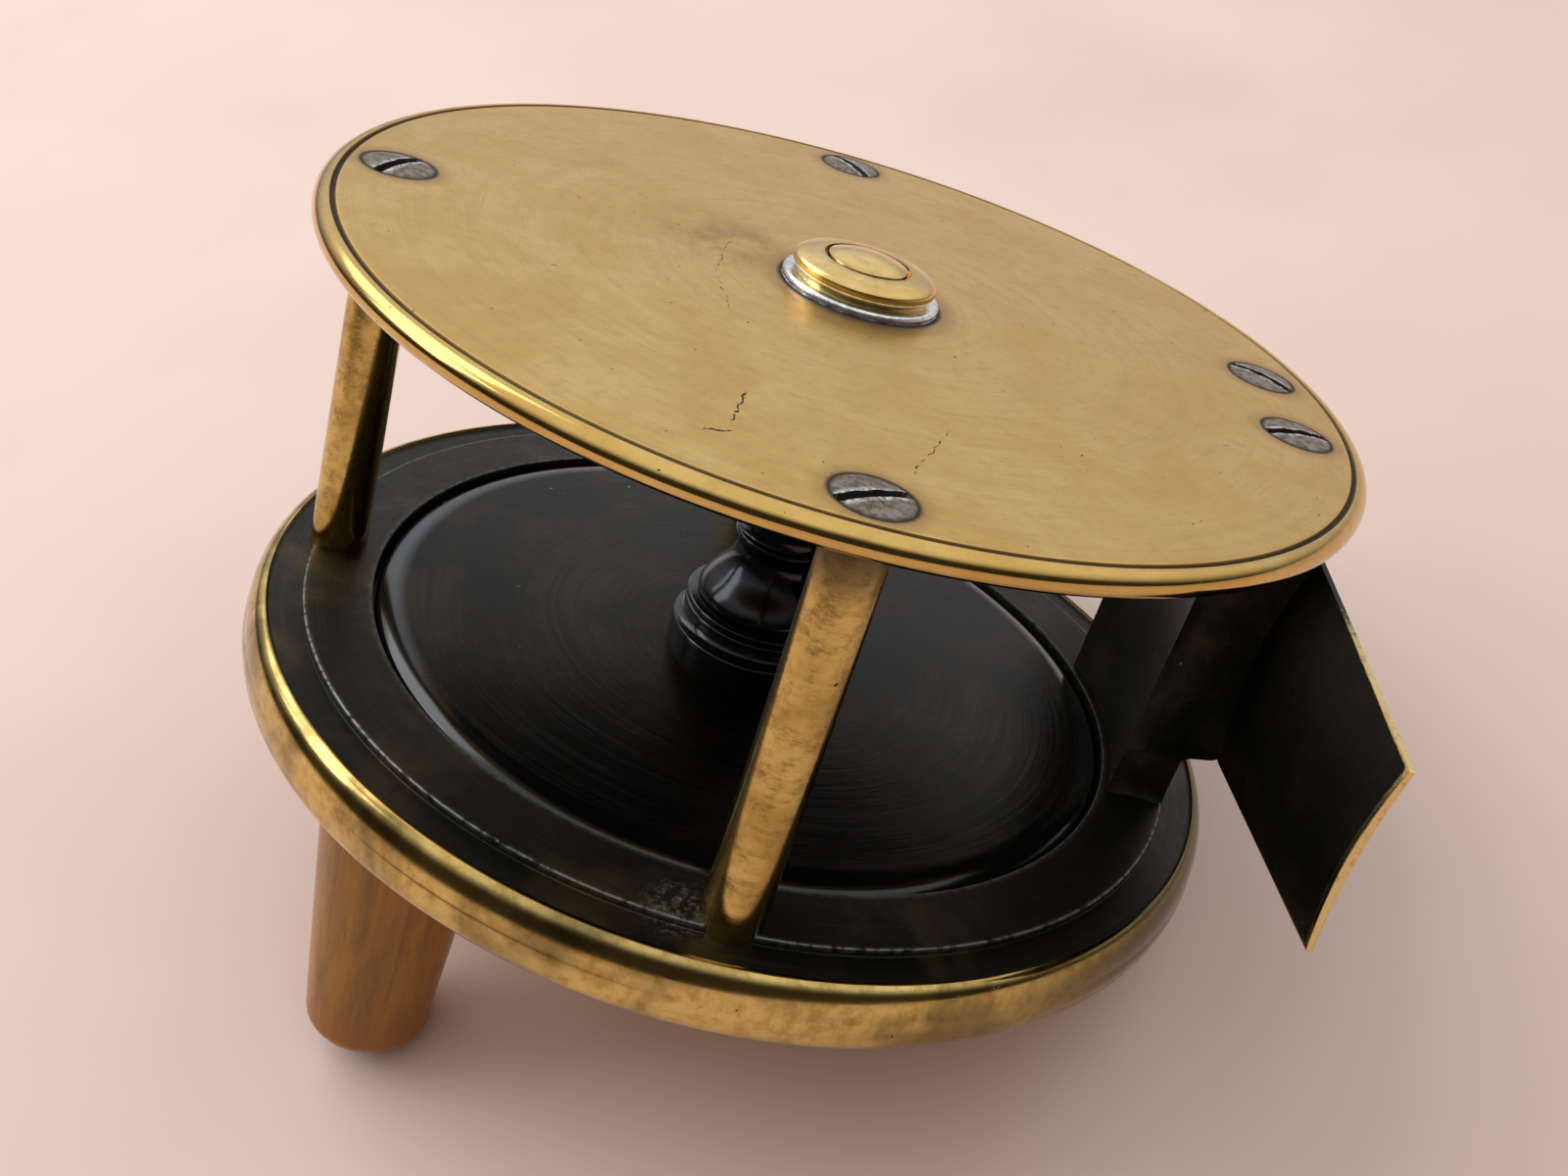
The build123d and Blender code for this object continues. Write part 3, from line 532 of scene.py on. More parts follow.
def plate_marks(tree, place):
    """The plate's long scratches, a scatter of short dark dents, and dirt round each screw and the boss."""
    mask = None
    for origin, start, end, width in plate_scratches:
        start, end = (*(origin + start), 0), (*(origin + end), 0)
        one = effect(tree, scratch, Place=place, Start=start, End=end, Width=width)
        mask = one if mask is None else most(tree, mask, one)
    long_way = put(tree, "VectorMath", {0: place, 1: (0.35, 1.0, 1.0)}, operation="MULTIPLY").outputs[0]
    dents = effect(tree, pits, Place=long_way, Spacing=2.4, Share=0.16, Largest=0.13)
    specks = effect(tree, pits, Place=place, Spacing=0.9, Share=0.12, Largest=0.11)
    mask = most(tree, most(tree, mask, dents), specks)
    for spot in screw_spots:
        mask = most(tree, mask, round_spot(tree, place, spot, well_radius + 0.05, well_radius + 0.5))
    return most(tree, mask, round_spot(tree, place, boss_middle, *boss_dirt))


def plate_stains(tree, place):
    """Brown tarnish: soft rings round the boss and the screws, and a cloud beside the boss."""
    cloud = fade(tree, grain(tree, place, 0.22, 5.0, 0.7), 0.38, 0.62)
    mask = times(tree, round_spot(tree, place, boss_middle, *boss_tarnish), 0.7)
    beside = times(tree, round_spot(tree, place, cloud_spot, *cloud_reach), cloud)
    mask = most(tree, mask, times(tree, beside, 0.65))
    for spot in screw_spots:
        mask = most(tree, mask, times(tree, round_spot(tree, place, spot, 3.6, 5.6), 0.55))
    return mask


plate_brass = brass("plate_brass", (0.68, 0.455, 0.145, 1), (0.60, 0.370, 0.098, 1), (0.49, 0.33, 0.108, 1),
                    (0.24, 0.42), patch=11.0, spots=0.2, dirt_and_shade="dirt_and_shade", extra=plate_marks, stain=plate_stains,
                    polished="polished")
make_piece("back_plate_disc", [sink_wells(turned(plate_profile, 720))], plate_brass, "root", ["back_plate"],
           ring=True, marks={"dirt_and_shade": plate_dirt, "polished": plate_polished})

# ==== Screws in the back plate ====
# Five countersunk steel screws with low domed heads: three hold the pillars and two the foot's block.
# Their slots are worn bright along the edges and dark inside, and the heads are stained grey brown.

screw_crown, slot_half, slot_deep = 0.32, 0.46, 0.9
slot_turns = (-55, 66, 31, 17, -35)
screw_rows, screw_columns = 64, 144


def screw_head(spot, turn):
    """A head worked out on rings about its middle: a low dome, lowered where the slot crosses it.

    Points near the slot's sides are moved on to them, so the sides are straight and steep.
    """
    radius = np.linspace(0, screw_radius, screw_rows)[:, None]
    angle = np.linspace(0, 2 * np.pi, screw_columns, endpoint=False)
    along, across = radius * np.cos(angle), radius * np.sin(angle)
    close = np.abs(np.abs(across) - slot_half) < 0.06
    across = np.where(close, np.sign(across) * slot_half, across)
    fall = 1 - (radius / screw_radius) ** 2
    dome = screw_crown * fall * np.ones_like(along)
    dome += 0.05 * np.sin(along * 3 + spot[0]) * np.cos(across * 2.3 + spot[1]) * fall
    z = np.where(np.abs(across) < slot_half - 0.001, screw_crown - slot_deep, dome)
    rim = np.stack([along[-1], across[-1], np.full(screw_columns, -0.05)], -1)
    shank = np.stack([along[-1] * 0.6, across[-1] * 0.6, np.full(screw_columns, -well_depth + 0.1)], -1)
    head = np.stack([along, across, z], -1)
    grid = np.concatenate([head, rim[None], shank[None], shank[None] * [0, 0, 1]])
    c, s = math.cos(math.radians(turn)), math.sin(math.radians(turn))
    out = grid.copy()
    out[..., 0] = spot[0] + c * grid[..., 0] - s * grid[..., 1]
    out[..., 1] = spot[1] + s * grid[..., 0] + c * grid[..., 1]
    return out


def slot_distance(points):
    """How far each point is from the middle line of the nearest screw's slot, in mm."""
    nearest = np.full(len(points), 99.0)
    for spot, turn in zip(screw_spots, slot_turns):
        away = points[:, :2] - spot
        turn = math.radians(turn)
        across = np.abs(-math.sin(turn) * away[:, 0] + math.cos(turn) * away[:, 1])
        nearest = np.where(np.linalg.norm(away, axis=1) < screw_radius + 0.1, across, nearest)
    return nearest


def slot_wear(points):
    """Bright metal in a narrow band beside the slot."""
    return (1 - np.clip((slot_distance(points) - slot_half) / 0.6, 0, 1)) * (points[:, 2] > -0.05)


def slot_darkening(points):
    """Dark inside the slot, and a dark ring at the head's rim."""
    rim = np.full(len(points), 99.0)
    for spot in screw_spots:
        rim = np.minimum(rim, np.linalg.norm(points[:, :2] - spot, axis=1))
    edge_ring = np.clip((rim - screw_radius + 0.35) / 0.3, 0, 1)
    return np.maximum(edge_ring * 0.85, slot_distance(points) < slot_half + 0.02)


def steel(name, bright, stained, gloss, share=(0.4, 0.6), wear=None, dirt_and_shade=None):
    """Stained steel: two tones in blotches, fine pits, and worn and darkened places from vertex attributes."""
    material, tree, shader = new_material(name)
    place = reel_place(tree)
    blotches = grain(tree, place, 1.1, 5.0, 0.7)
    colour = tint(tree, fade(tree, blotches, *share), bright, stained)
    rough = spread(tree, blotches, *gloss)
    pits_dirt_and_shade = effect(tree, pits, Place=place, Spacing=0.7, Share=0.4, Largest=0.12)
    if wear:
        worn = marked(tree, wear)
        worn = times(tree, worn, fade(tree, grain(tree, place, 2.4, 3.0), 0.35, 0.6))
        colour = tint(tree, worn, colour, (0.86, 0.85, 0.82, 1))
    if dirt_and_shade:
        dirt_and_shade_film = marked(tree, dirt_and_shade)
        pits_dirt_and_shade = most(tree, pits_dirt_and_shade, dirt_and_shade_film)
    tree.links.new(tint(tree, pits_dirt_and_shade, colour, (0.02, 0.015, 0.012, 1)), shader.inputs["Base Color"])
    tree.links.new(plus(tree, rough, times(tree, pits_dirt_and_shade, 0.3)), shader.inputs["Roughness"])
    tree.links.new(minus(tree, 1.0, times(tree, pits_dirt_and_shade, 0.9)), shader.inputs["Metallic"])
    roughen(tree, shader, blotches, 0.0002, 0.35)
    return material


screw_steel = steel("screw_steel", (0.27, 0.225, 0.185, 1), (0.125, 0.095, 0.070, 1), (0.26, 0.46),
                    wear="wear", dirt_and_shade="dirt_and_shade")
screw_marks = {"wear": slot_wear, "dirt_and_shade": slot_darkening}
heads = [screw_head(spot, turn) for spot, turn in zip(screw_spots, slot_turns)]
make_piece("pillar_screw_heads", heads[:3], screw_steel, "root", ["pillar_screws"],
           marks=screw_marks)
make_piece("foot_screw_heads", heads[3:], screw_steel, "root", ["foot_screws_back"],
           marks=screw_marks)

# ==== Boss on the back plate ====
# The spindle's bearing: a bright steel washer, a polished brass collar with a rounded edge, and a domed
# brass button let into the collar with a narrow dark groove round it.

washer_top = reel_box("boss_washer")[1][2]
washer_radius = reel_box("boss_washer")[1][1]
collar_radius = reel_box("back_bush")[1][1]
collar_top = reel_box("back_bush")[1][2]
button_radius = reel_box("boss_cap")[1][1]
button_top = reel_box("boss_cap")[1][2]
collar_round, undercut, groove_width, groove_floor = 0.9, 0.3, 0.35, collar_top - 0.8
bearing_radius, neck_inset = 4.5, 0.62
dome_height = 0.75

collar_inner = button_radius + groove_width
collar_turn = np.radians(np.linspace(0, 90, 25))
washer_profile = np.vstack([
    [(collar_radius - 2, 0.0), (washer_radius - 0.05, 0.0)],
    arc((washer_radius - washer_top / 2, washer_top / 2), washer_top / 2, -80, 90, 11),
    [(collar_radius - 2, washer_top)],
])
collar_profile = np.vstack([
    [(bearing_radius - 1, plate_under), (bearing_radius, plate_under), (bearing_radius, washer_top)],
    [(collar_radius - neck_inset, washer_top), (collar_radius - neck_inset, washer_top + undercut)],
    arc((collar_radius - collar_round, washer_top + undercut + collar_round), collar_round, -90, 0, 13),
    np.column_stack([collar_inner + (collar_radius - collar_inner) * np.cos(collar_turn),
                     collar_top - collar_round * (1 - np.sin(collar_turn))]),
    [(collar_inner, groove_floor), (bearing_radius - 1, groove_floor)],
])
dome_radius = (button_radius ** 2 + dome_height ** 2) / (2 * dome_height)
dome_half = math.degrees(math.asin(button_radius / dome_radius))
button_profile = np.vstack([
    [(0, groove_floor - 0.1), (button_radius, groove_floor - 0.1)],
    [(button_radius, button_top - dome_height - 0.1)],
    arc((0, button_top - dome_radius), dome_radius, 90 - dome_half * 0.985, 90, 24),
])
washer_steel = steel("washer_steel", (0.84, 0.88, 0.94, 1), (0.62, 0.66, 0.72, 1), (0.06, 0.16))
boss_brass = brass("boss_brass", (0.78, 0.56, 0.22, 1), (0.70, 0.47, 0.15, 1), (0.52, 0.36, 0.14, 1),
                   (0.12, 0.24), patch=5.0, spots=0.05, marks=9.0)
make_piece("boss_washer_steel", [turned(washer_profile, 240)], washer_steel, "root", ["boss_washer"],
           ring=True)
make_piece("boss_collar", [turned(collar_profile, 240)], boss_brass, "root", ["back_bush"],
           ring=True)
make_piece("boss_button", [turned(button_profile, 200)], boss_brass, "root", ["boss_cap"])

# ==== Front ring ====
# The ring that carries the cage and shrouds the spool's flange: turned from thick brass, blackened on
# its inner face, which steps down outside the pillars. Its round rim is polished, and dark by the foot.

ring_low, ring_high = reel_box("front_plate")
ring_radius = ring_high[1] - 0.13
band_z, ring_under = ring_high[2], ring_low[2]
step_z, lip_z = band_z - 0.8, band_z - 0.4
step_radius = 46.7
opening_radius = 39.9
top_round, top_fall, bottom_round, rim_bulge, lip_cove = 1.6, 3.3, 2.2, 0.13, 0.4
lip_radius = ring_radius - top_round
web_top, web_under, recess_radius = band_z - 2.8, band_z - 5.0, 48.2
bush_hole = 5.6

side_top, side_bottom = lip_z - top_fall, ring_under + bottom_round
top_turn = np.radians(np.linspace(0, 90, 25))
side_z = np.linspace(side_top, side_bottom, 9)[1:-1]
side_bulge = rim_bulge * (1 - ((2 * side_z - side_top - side_bottom) / (side_top - side_bottom)) ** 2)
ring_profile = np.vstack([
    [(bush_hole, web_top), (20, web_top), (opening_radius, web_top)],
    arc((opening_radius + 0.15, band_z - 0.15), 0.15, 180, 90, 5),
    line((opening_radius + 0.6, band_z), (step_radius - 0.5, band_z), 12),
    arc((step_radius - 0.25, band_z - 0.25), 0.25, 90, 0, 7),
    [(step_radius, step_z + 0.1), (step_radius + 0.1, step_z)],
    line((step_radius + 0.3, step_z), (lip_radius - lip_cove - 0.1, step_z), 6),
    arc((lip_radius - lip_cove, lip_z), lip_cove, -90, 0, 7),
    np.column_stack([lip_radius + top_round * np.sin(top_turn), side_top + top_fall * np.cos(top_turn)]),
    np.column_stack([ring_radius + side_bulge, side_z]),
    arc((ring_radius - bottom_round, side_bottom), bottom_round, 0, -90, 21),
    [(recess_radius + 0.2, ring_under), (recess_radius, ring_under + 0.2), (recess_radius, web_under)],
    [(bush_hole, web_under)],
])


def ring_black(points):
    """Blackening: full on the inner face and down inside the opening, none on the polished rim."""
    radius = np.hypot(points[:, 0], points[:, 1])
    return np.clip((lip_radius - 0.02 - radius) / 0.08, 0, 1) * (points[:, 2] > web_under - 0.5)


def ring_worn(points):
    """Wear: a thin line along the edge of the step, and fainter along the edge of the opening."""
    radius = np.hypot(points[:, 0], points[:, 1])
    step = 1 - np.clip(np.abs(radius - step_radius + 0.12) / 0.16, 0, 1)
    mouth = 0.25 * (1 - np.clip(np.abs(radius - opening_radius - 0.15) / 0.3, 0, 1))
    return np.maximum(step, mouth) * (points[:, 2] > band_z - 0.4)


scuff_spot = pillar_spots[2] + np.array([-4.6, -0.2])


def ring_finish():
    """Polished rim brass, with a blackened inner face that is brown in patches, worn at its edges,
    scuffed beside the front pillar and dotted with dust."""
    material, tree, shader = new_material("ring_brass")
    place = reel_place(tree)
    black = marked(tree, "black")
    worn = marked(tree, "worn")
    lines = effect(tree, turning_marks, Place=place, Lines_per_mm=5.0)
    fine = grain(tree, place, 0.6, 5.0, 0.7)
    patches = grain(tree, place, 0.07, 4.0, 0.6, 0.5)
    gold = tint(tree, fade(tree, fine, 0.42, 0.7), (0.66, 0.47, 0.16, 1), (0.46, 0.29, 0.08, 1))
    # The rim is darker towards the foot, and dark brown in patches.
    foot_side_and_patch_dark = fade(tree, put(tree, "SeparateXYZ", {0: place}).outputs["X"], 16.0, 42.0)
    foot_side_and_patch_dark = most(tree, times(tree, fade(tree, patches, 0.38, 0.60), 0.72), foot_side_and_patch_dark)
    gold = tint(tree, times(tree, foot_side_and_patch_dark, 0.92), gold, (0.085, 0.062, 0.022, 1))
    spots = effect(tree, pits, Place=place, Spacing=1.7, Share=0.3, Largest=0.13)
    long_way = put(tree, "VectorMath", {0: place, 1: (0.4, 0.4, 1.6)}, operation="MULTIPLY").outputs[0]
    cracks = effect(tree, pits, Place=long_way, Spacing=1.6, Share=0.12, Largest=0.16)
    spots = most(tree, spots, cracks)
    gold = tint(tree, spots, gold, (0.05, 0.02, 0.008, 1))
    dark = tint(tree, fade(tree, patches, 0.45, 0.68), (0.009, 0.0088, 0.0055, 1), (0.050, 0.036, 0.014, 1))
    dark = tint(tree, fade(tree, lines, 0.5, 0.75), dark, (0.026, 0.024, 0.013, 1))
    ragged = times(tree, worn, fade(tree, grain(tree, place, 1.3, 4.0), 0.34, 0.56))
    dark = tint(tree, ragged, dark, (0.23, 0.23, 0.20, 1))
    scuff_place = {0: place, 1: (*scuff_spot, band_z)}
    away = put(tree, "VectorMath", scuff_place, operation="DISTANCE").outputs["Value"]
    scuffed = fade(tree, grain(tree, place, 1.8, 6.0, 0.8), 0.46, 0.62)
    scuffed = times(tree, fade(tree, away, 4.5, 0.5), scuffed)
    dark = tint(tree, times(tree, scuffed, 0.55), dark, (0.26, 0.25, 0.21, 1))
    dust = effect(tree, pits, Place=place, Spacing=1.9, Share=0.14, Largest=0.13)
    dark = tint(tree, dust, dark, (0.30, 0.30, 0.27, 1))
    tree.links.new(tint(tree, black, gold, dark), shader.inputs["Base Color"])
    satin = spread(tree, fine, 0.34, 0.5)
    polish = spread(tree, fine, 0.10, 0.22)
    polish = plus(tree, polish, times(tree, spots, 0.4))
    rough = put(tree, "Mix", {0: black, 2: polish, 3: satin}).outputs[0]
    tree.links.new(rough, shader.inputs["Roughness"])
    dusty = most(tree, scuffed, dust)
    metal = minus(tree, 1.0, times(tree, black, plus(tree, 0.45, times(tree, dusty, 0.5))))
    tree.links.new(metal, shader.inputs["Metallic"])
    shader.inputs["Specular IOR Level"].default_value = 0.25
    height = minus(tree, times(tree, lines, 0.3), times(tree, spots, minus(tree, 1.0, black)))
    roughen(tree, shader, height, 0.00005, 0.4)
    return material


make_piece("front_ring", [turned(ring_profile, 720)], ring_finish(), "root", ["front_plate"],
           ring=True, marks={"black": ring_black, "worn": ring_worn})

# ==== Pillars ====
# Three round brass pillars between the plates, a little stouter at the base, let into the ring. They
# are golden, with dark spots, and brown where fingers don't rub them; painted shade darkens their upper
# ends under the back plate.

for number, spot in enumerate(pillar_spots, 1):
    low, high = reel_box(f"pillar_{number}")
    base_radius = (high[1] - low[1]) / 2
    top_radius = base_radius - 0.1
    foot_z = step_z
    pillar_profile = np.vstack([
        [(0, foot_z), (base_radius, foot_z)],
        line((base_radius, foot_z + 0.3), (top_radius, plate_under), 40),
        [(0, plate_under)],
    ])

    def pillar_seam_and_shade(points):
        """A thin dark line where the pillar meets the ring, and painted shade darkening it under the back plate.
        """
        seam = 0.9 * (1 - np.clip(np.abs(points[:, 2] - band_z - 0.1) / 0.25, 0, 1))
        # Painted shade: the last 6.5 mm below the back plate is darkened, where the plate shades the pillar.
        return np.maximum(seam, 0.75 * np.clip((points[:, 2] - plate_under + 6.5) / 5, 0, 1) ** 1.5)

    pillar_brass = brass(f"pillar_brass_{number}", (0.62, 0.43, 0.135, 1), (0.44, 0.28, 0.075, 1),
                         (0.18, 0.11, 0.035, 1), (0.10, 0.24), patch=7.0, spots=0.7, dirt_and_shade="dirt_and_shade")
    make_piece(f"pillar_rod_{number}", [turned(pillar_profile, 96, spot)], pillar_brass, "root",
               [f"pillar_{number}"], marks={"dirt_and_shade": pillar_seam_and_shade})

# ==== Spool ====
# Two blackened flanges on a turned baluster, spinning on the spindle. The front flange has a wide rounded
# shoulder, polished by handling, and lies level with the ring, with a narrow gap all round.


def black_metal(name, tone, brown, gloss, dusty=0.12, coat=0.0, sheen=None):
    """Blackened brass: near black with brown patches, lathe marks and specks of dust. sheen is a vertex
    attribute of the places where handling has polished the lacquer."""
    material, tree, shader = new_material(name)
    place = reel_place(tree)
    lines = effect(tree, turning_marks, Place=place, Lines_per_mm=2.2)
    patches = grain(tree, place, 0.08, 4.0, 0.6, 0.5)
    colour = tint(tree, fade(tree, patches, 0.42, 0.68), tone, brown)
    colour = tint(tree, fade(tree, lines, 0.48, 0.72), colour, tuple(2.1 * c for c in tone[:3]) + (1,))
    dust = effect(tree, pits, Place=place, Spacing=1.8, Share=dusty, Largest=0.13)
    colour = tint(tree, dust, colour, (0.45, 0.45, 0.42, 1))
    tree.links.new(colour, shader.inputs["Base Color"])
    rough = spread(tree, lines, *gloss)
    tree.links.new(plus(tree, rough, times(tree, dust, 0.4)), shader.inputs["Roughness"])
    tree.links.new(minus(tree, 0.75, times(tree, dust, 0.75)), shader.inputs["Metallic"])
    shader.inputs["Specular IOR Level"].default_value = 0.12
    shader.inputs["Coat Weight"].default_value = coat
    if sheen:
        tree.links.new(marked(tree, sheen), shader.inputs["Coat Weight"])
    shader.inputs["Coat Roughness"].default_value = 0.15
    shader.inputs["Coat Tint"].default_value = (0.72, 0.84, 1.0, 1)
    roughen(tree, shader, lines, 0.00006, 0.4)
    return material


flange_low, flange_high = reel_box("spool_front_flange")
flange_radius, flange_top, flange_under = flange_high[1], flange_high[2], flange_low[2]
shoulder_width, shoulder_depth, corner = 3.0, 1.35, 0.7
hub_radius = 5.1
shoulder_turn = np.radians(np.linspace(0, 90, 25))
shoulder_r = flange_radius - shoulder_width * (1 - np.cos(shoulder_turn))
shoulder_z = flange_top - shoulder_depth * (1 - np.sin(shoulder_turn))
front_flange_profile = np.vstack([
    [(hub_radius, flange_under), (20, flange_under)],
    arc((flange_radius - corner, flange_under + corner), corner, -90, 0, 9),
    np.column_stack([shoulder_r, shoulder_z]),
    line((flange_radius - shoulder_width - 0.6, flange_top), (hub_radius, flange_top), 24),
])
flange_black = black_metal("flange_black", (0.005, 0.0055, 0.0045, 1), (0.021, 0.015, 0.008, 1),
                           (0.20, 0.34), dusty=0.2, sheen="sheen")


def flange_sheen(points):
    """Polish on the shoulder at the flange's edge."""
    return 0.9 * np.clip((np.hypot(points[:, 0], points[:, 1]) - flange_radius + shoulder_width) / 1.2, 0, 1)



make_piece("spool_flange_front", [turned(front_flange_profile, 540)], flange_black, "spool",
           ["spool_front_flange"], ring=True, marks={"sheen": flange_sheen})

rear_low, rear_high = reel_box("spool_rear_flange")
rear_radius, rear_top, rear_under = rear_high[1], rear_high[2], rear_low[2]
rear_round = 0.7
rear_flange_profile = np.vstack([
    [(hub_radius, rear_under)],
    line((8, rear_under), (rear_radius - rear_round - 0.1, rear_under), 10),
    arc((rear_radius - rear_round, rear_under + rear_round), rear_round, -90, 0, 9),
    arc((rear_radius - rear_round, rear_top - rear_round), rear_round, 0, 90, 9),
    [(hub_radius, rear_top)],
])
make_piece("spool_flange_rear", [turned(rear_flange_profile, 540)], flange_black, "spool",
           ["spool_rear_flange"], ring=True, marks={"sheen": flange_sheen})

arbor_black = black_metal("arbor_black", (0.012, 0.012, 0.013, 1), (0.030, 0.023, 0.017, 1),
                          (0.12, 0.22), coat=0.6)
disc_radius, moulding_radius, ball_radius = 8.9, 8.2, 7.2
neck_radius, bead_radius, barrel_radius = 4.4, 5.0, 4.5
disc_round, line_round, bead_round = 0.5, 0.4, 0.6
cove_foot, cove_height, bell_foot, bell_height = 1.9, 1.4, 5.8, 5.9
line_heights, bead_height, barrel_end = (3.85, 4.7), 13.0, 17.0


def baluster(base, way):
    """Half of the baluster: a disc, a cove, two fine beads, a bell drawn in to a neck, a bead, a barrel."""
    rise = np.linspace(0, 1, 25)
    bell = ball_radius + (neck_radius - ball_radius) * (1 - np.cos(np.pi * rise ** 0.8)) / 2
    cove = np.radians(np.linspace(0, 90, 9))
    cove_r = moulding_radius - disc_round + 1.2 * (1 - np.sin(cove))
    half = np.vstack([
        line((disc_radius, 0), (disc_radius, 1.2), 3),
        arc((disc_radius - disc_round, cove_foot - disc_round), disc_round, 0, 90, 8),
        np.column_stack([cove_r, cove_foot + cove_height * (1 - np.cos(cove))]),
        arc((moulding_radius - line_round, line_heights[0]), line_round, -80, 80, 9),
        arc((moulding_radius - line_round, line_heights[1]), line_round, -80, 80, 9),
        [(moulding_radius - 0.6, 5.15)],
        arc((ball_radius - 0.5, bell_foot - 0.05), 0.5, -70, 0, 6),
        np.column_stack([bell, bell_foot + rise * bell_height]),
        [(neck_radius + 0.1, bead_height - 0.9)],
        arc((bead_radius - bead_round, bead_height), bead_round, -65, 65, 12),
        line((barrel_radius, bead_height + 0.8), (barrel_radius, barrel_end), 4),
    ])
    return np.column_stack([half[:, 0], base + way * half[:, 1]])


front_half = baluster(flange_top, 1)
rear_half = baluster(rear_under, -1)[::-1]
arbor_profile = np.vstack([[(0, flange_top - 0.3), (disc_radius, flange_top - 0.3)], front_half, rear_half,
                           [(disc_radius, rear_under + 0.3), (0, rear_under + 0.3)]])
make_piece("spool_baluster", [turned(arbor_profile, 160)], arbor_black, "spool", ["spool_arbor"])

# ==== Foot and its block ====
# A brass strip for the rod's seat, hollow on the rod's side, thin at its edges and tapered to square ends,
# riveted to a block that the two plates hold. It is dark with age, and rubbed bright at its edges and ends.

foot_low, foot_high = reel_box("foot")
foot_outer, foot_inner = foot_high[0], foot_low[0]
foot_z = (foot_low[2] + foot_high[2]) / 2
foot_half_length = foot_high[1]
foot_mid_half, foot_end_half = (foot_high[2] - foot_low[2]) / 2, 9.6
foot_taper_start, foot_lip, foot_hollow = 16.2, 0.55, 0.7


def foot_half_width(y):
    """Half the strip's width: even in the middle, then tapering in a straight line to the end."""
    share = np.clip((np.abs(y) - foot_taper_start) / (foot_half_length - foot_taper_start), 0, 1)
    return foot_mid_half + (foot_end_half - foot_mid_half) * share


def foot_grid():
    """The strip: its section, hollow on the rod side and arched on the reel side, carried along its length.

    The last rows at each end shrink towards the section's middle and close it.
    """
    inset = np.array([1.0, 0.35, 0.12, 0.0])
    back = np.array([0.0, 0.0, 0.06, 0.25])
    rows = np.linspace(-foot_half_length + 0.4, foot_half_length - 0.4, 150)
    y = np.concatenate([-foot_half_length + back, rows, foot_half_length - back[::-1]])
    pull = np.concatenate([inset, np.zeros(150), inset[::-1]])
    width = foot_half_width(y)[:, None]
    across = np.concatenate([np.linspace(1, -1, 24), np.linspace(-1, 1, 64)])
    reel_side = np.concatenate([np.zeros(24), np.ones(64)])
    arch = foot_inner + (foot_outer - foot_lip - foot_inner) * across ** 2
    rod_side = foot_outer - foot_hollow * (1 - across ** 2)
    x = np.where(reel_side > 0, arch, rod_side)[None, :] * np.ones_like(width)
    z = foot_z + width * across[None, :]
    middle_x = (foot_inner + foot_outer - foot_hollow) / 2
    shrink = pull[:, None]
    x = x + (middle_x - x) * np.where(shrink < 1, shrink * 0.5, 1)
    z = z + (foot_z - z) * np.where(shrink < 1, shrink * 0.03, 1)
    return np.stack([x, y[:, None] * np.ones_like(z), z], -1)


def foot_bright(points):
    """Rubbed brass: on the end faces, along the thin edges, and fading in from each end."""
    width = foot_half_width(points[:, 1])
    side = width - np.abs(points[:, 2] - foot_z)
    end = foot_half_length - np.abs(points[:, 1])
    edges = 1 - np.clip((side - 0.12) / 0.3, 0, 1)
    ends = 1 - np.clip((end - 0.25) / 0.6, 0, 1)
    return np.maximum(edges * np.clip(1.0 - end / 40, 0.3, 1), ends)


def aged_brass(name):
    """Brass black with age, olive and brown in patches, with rubbed bright edges from an attribute."""
    material, tree, shader = new_material(name)
    place = reel_place(tree)
    rubbed = marked(tree, "bright")
    patches = grain(tree, place, 0.11, 5.0, 0.65, 0.4)
    fine = grain(tree, place, 0.9, 5.0, 0.7)
    colour = tint(tree, fade(tree, patches, 0.45, 0.7), (0.009, 0.0105, 0.006, 1), (0.045, 0.033, 0.014, 1))
    colour = tint(tree, fade(tree, fine, 0.52, 0.75), colour, (0.028, 0.030, 0.020, 1))
    dust = effect(tree, pits, Place=place, Spacing=1.5, Share=0.18, Largest=0.12)
    colour = tint(tree, dust, colour, (0.45, 0.44, 0.38, 1))
    edge = fade(tree, plus(tree, rubbed, times(tree, minus(tree, fine, 0.5), 0.5)), 0.42, 0.62)
    gold = tint(tree, fade(tree, fine, 0.5, 0.7), (0.70, 0.52, 0.22, 1), (0.40, 0.27, 0.10, 1))
    tree.links.new(tint(tree, edge, colour, gold), shader.inputs["Base Color"])
    rough = put(tree, "Mix", {0: edge, 2: 0.38, 3: 0.1}).outputs[0]
    tree.links.new(plus(tree, rough, times(tree, fine, 0.12)), shader.inputs["Roughness"])
    solid = minus(tree, edge, dust)
    tree.links.new(put(tree, "Mix", {0: solid, 2: 0.6, 3: 1.0}).outputs[0], shader.inputs["Metallic"])
    shader.inputs["Specular IOR Level"].default_value = 0.3
    roughen(tree, shader, fine, 0.0001, 0.3)
    return material


foot_brass = aged_brass("foot_brass")
make_piece("foot_strip", [foot_grid()], foot_brass, "root", ["foot"],
           marks={"bright": foot_bright})

block_inner, block_neck, block_seat = 40.8, 44.9, 46.75
block_half, seat_half, block_cove, block_toe = 12.3, 16.2, 0.45, 0.5
flare_low, flare_high, flare_run = -35.6, -4.6, 4.4


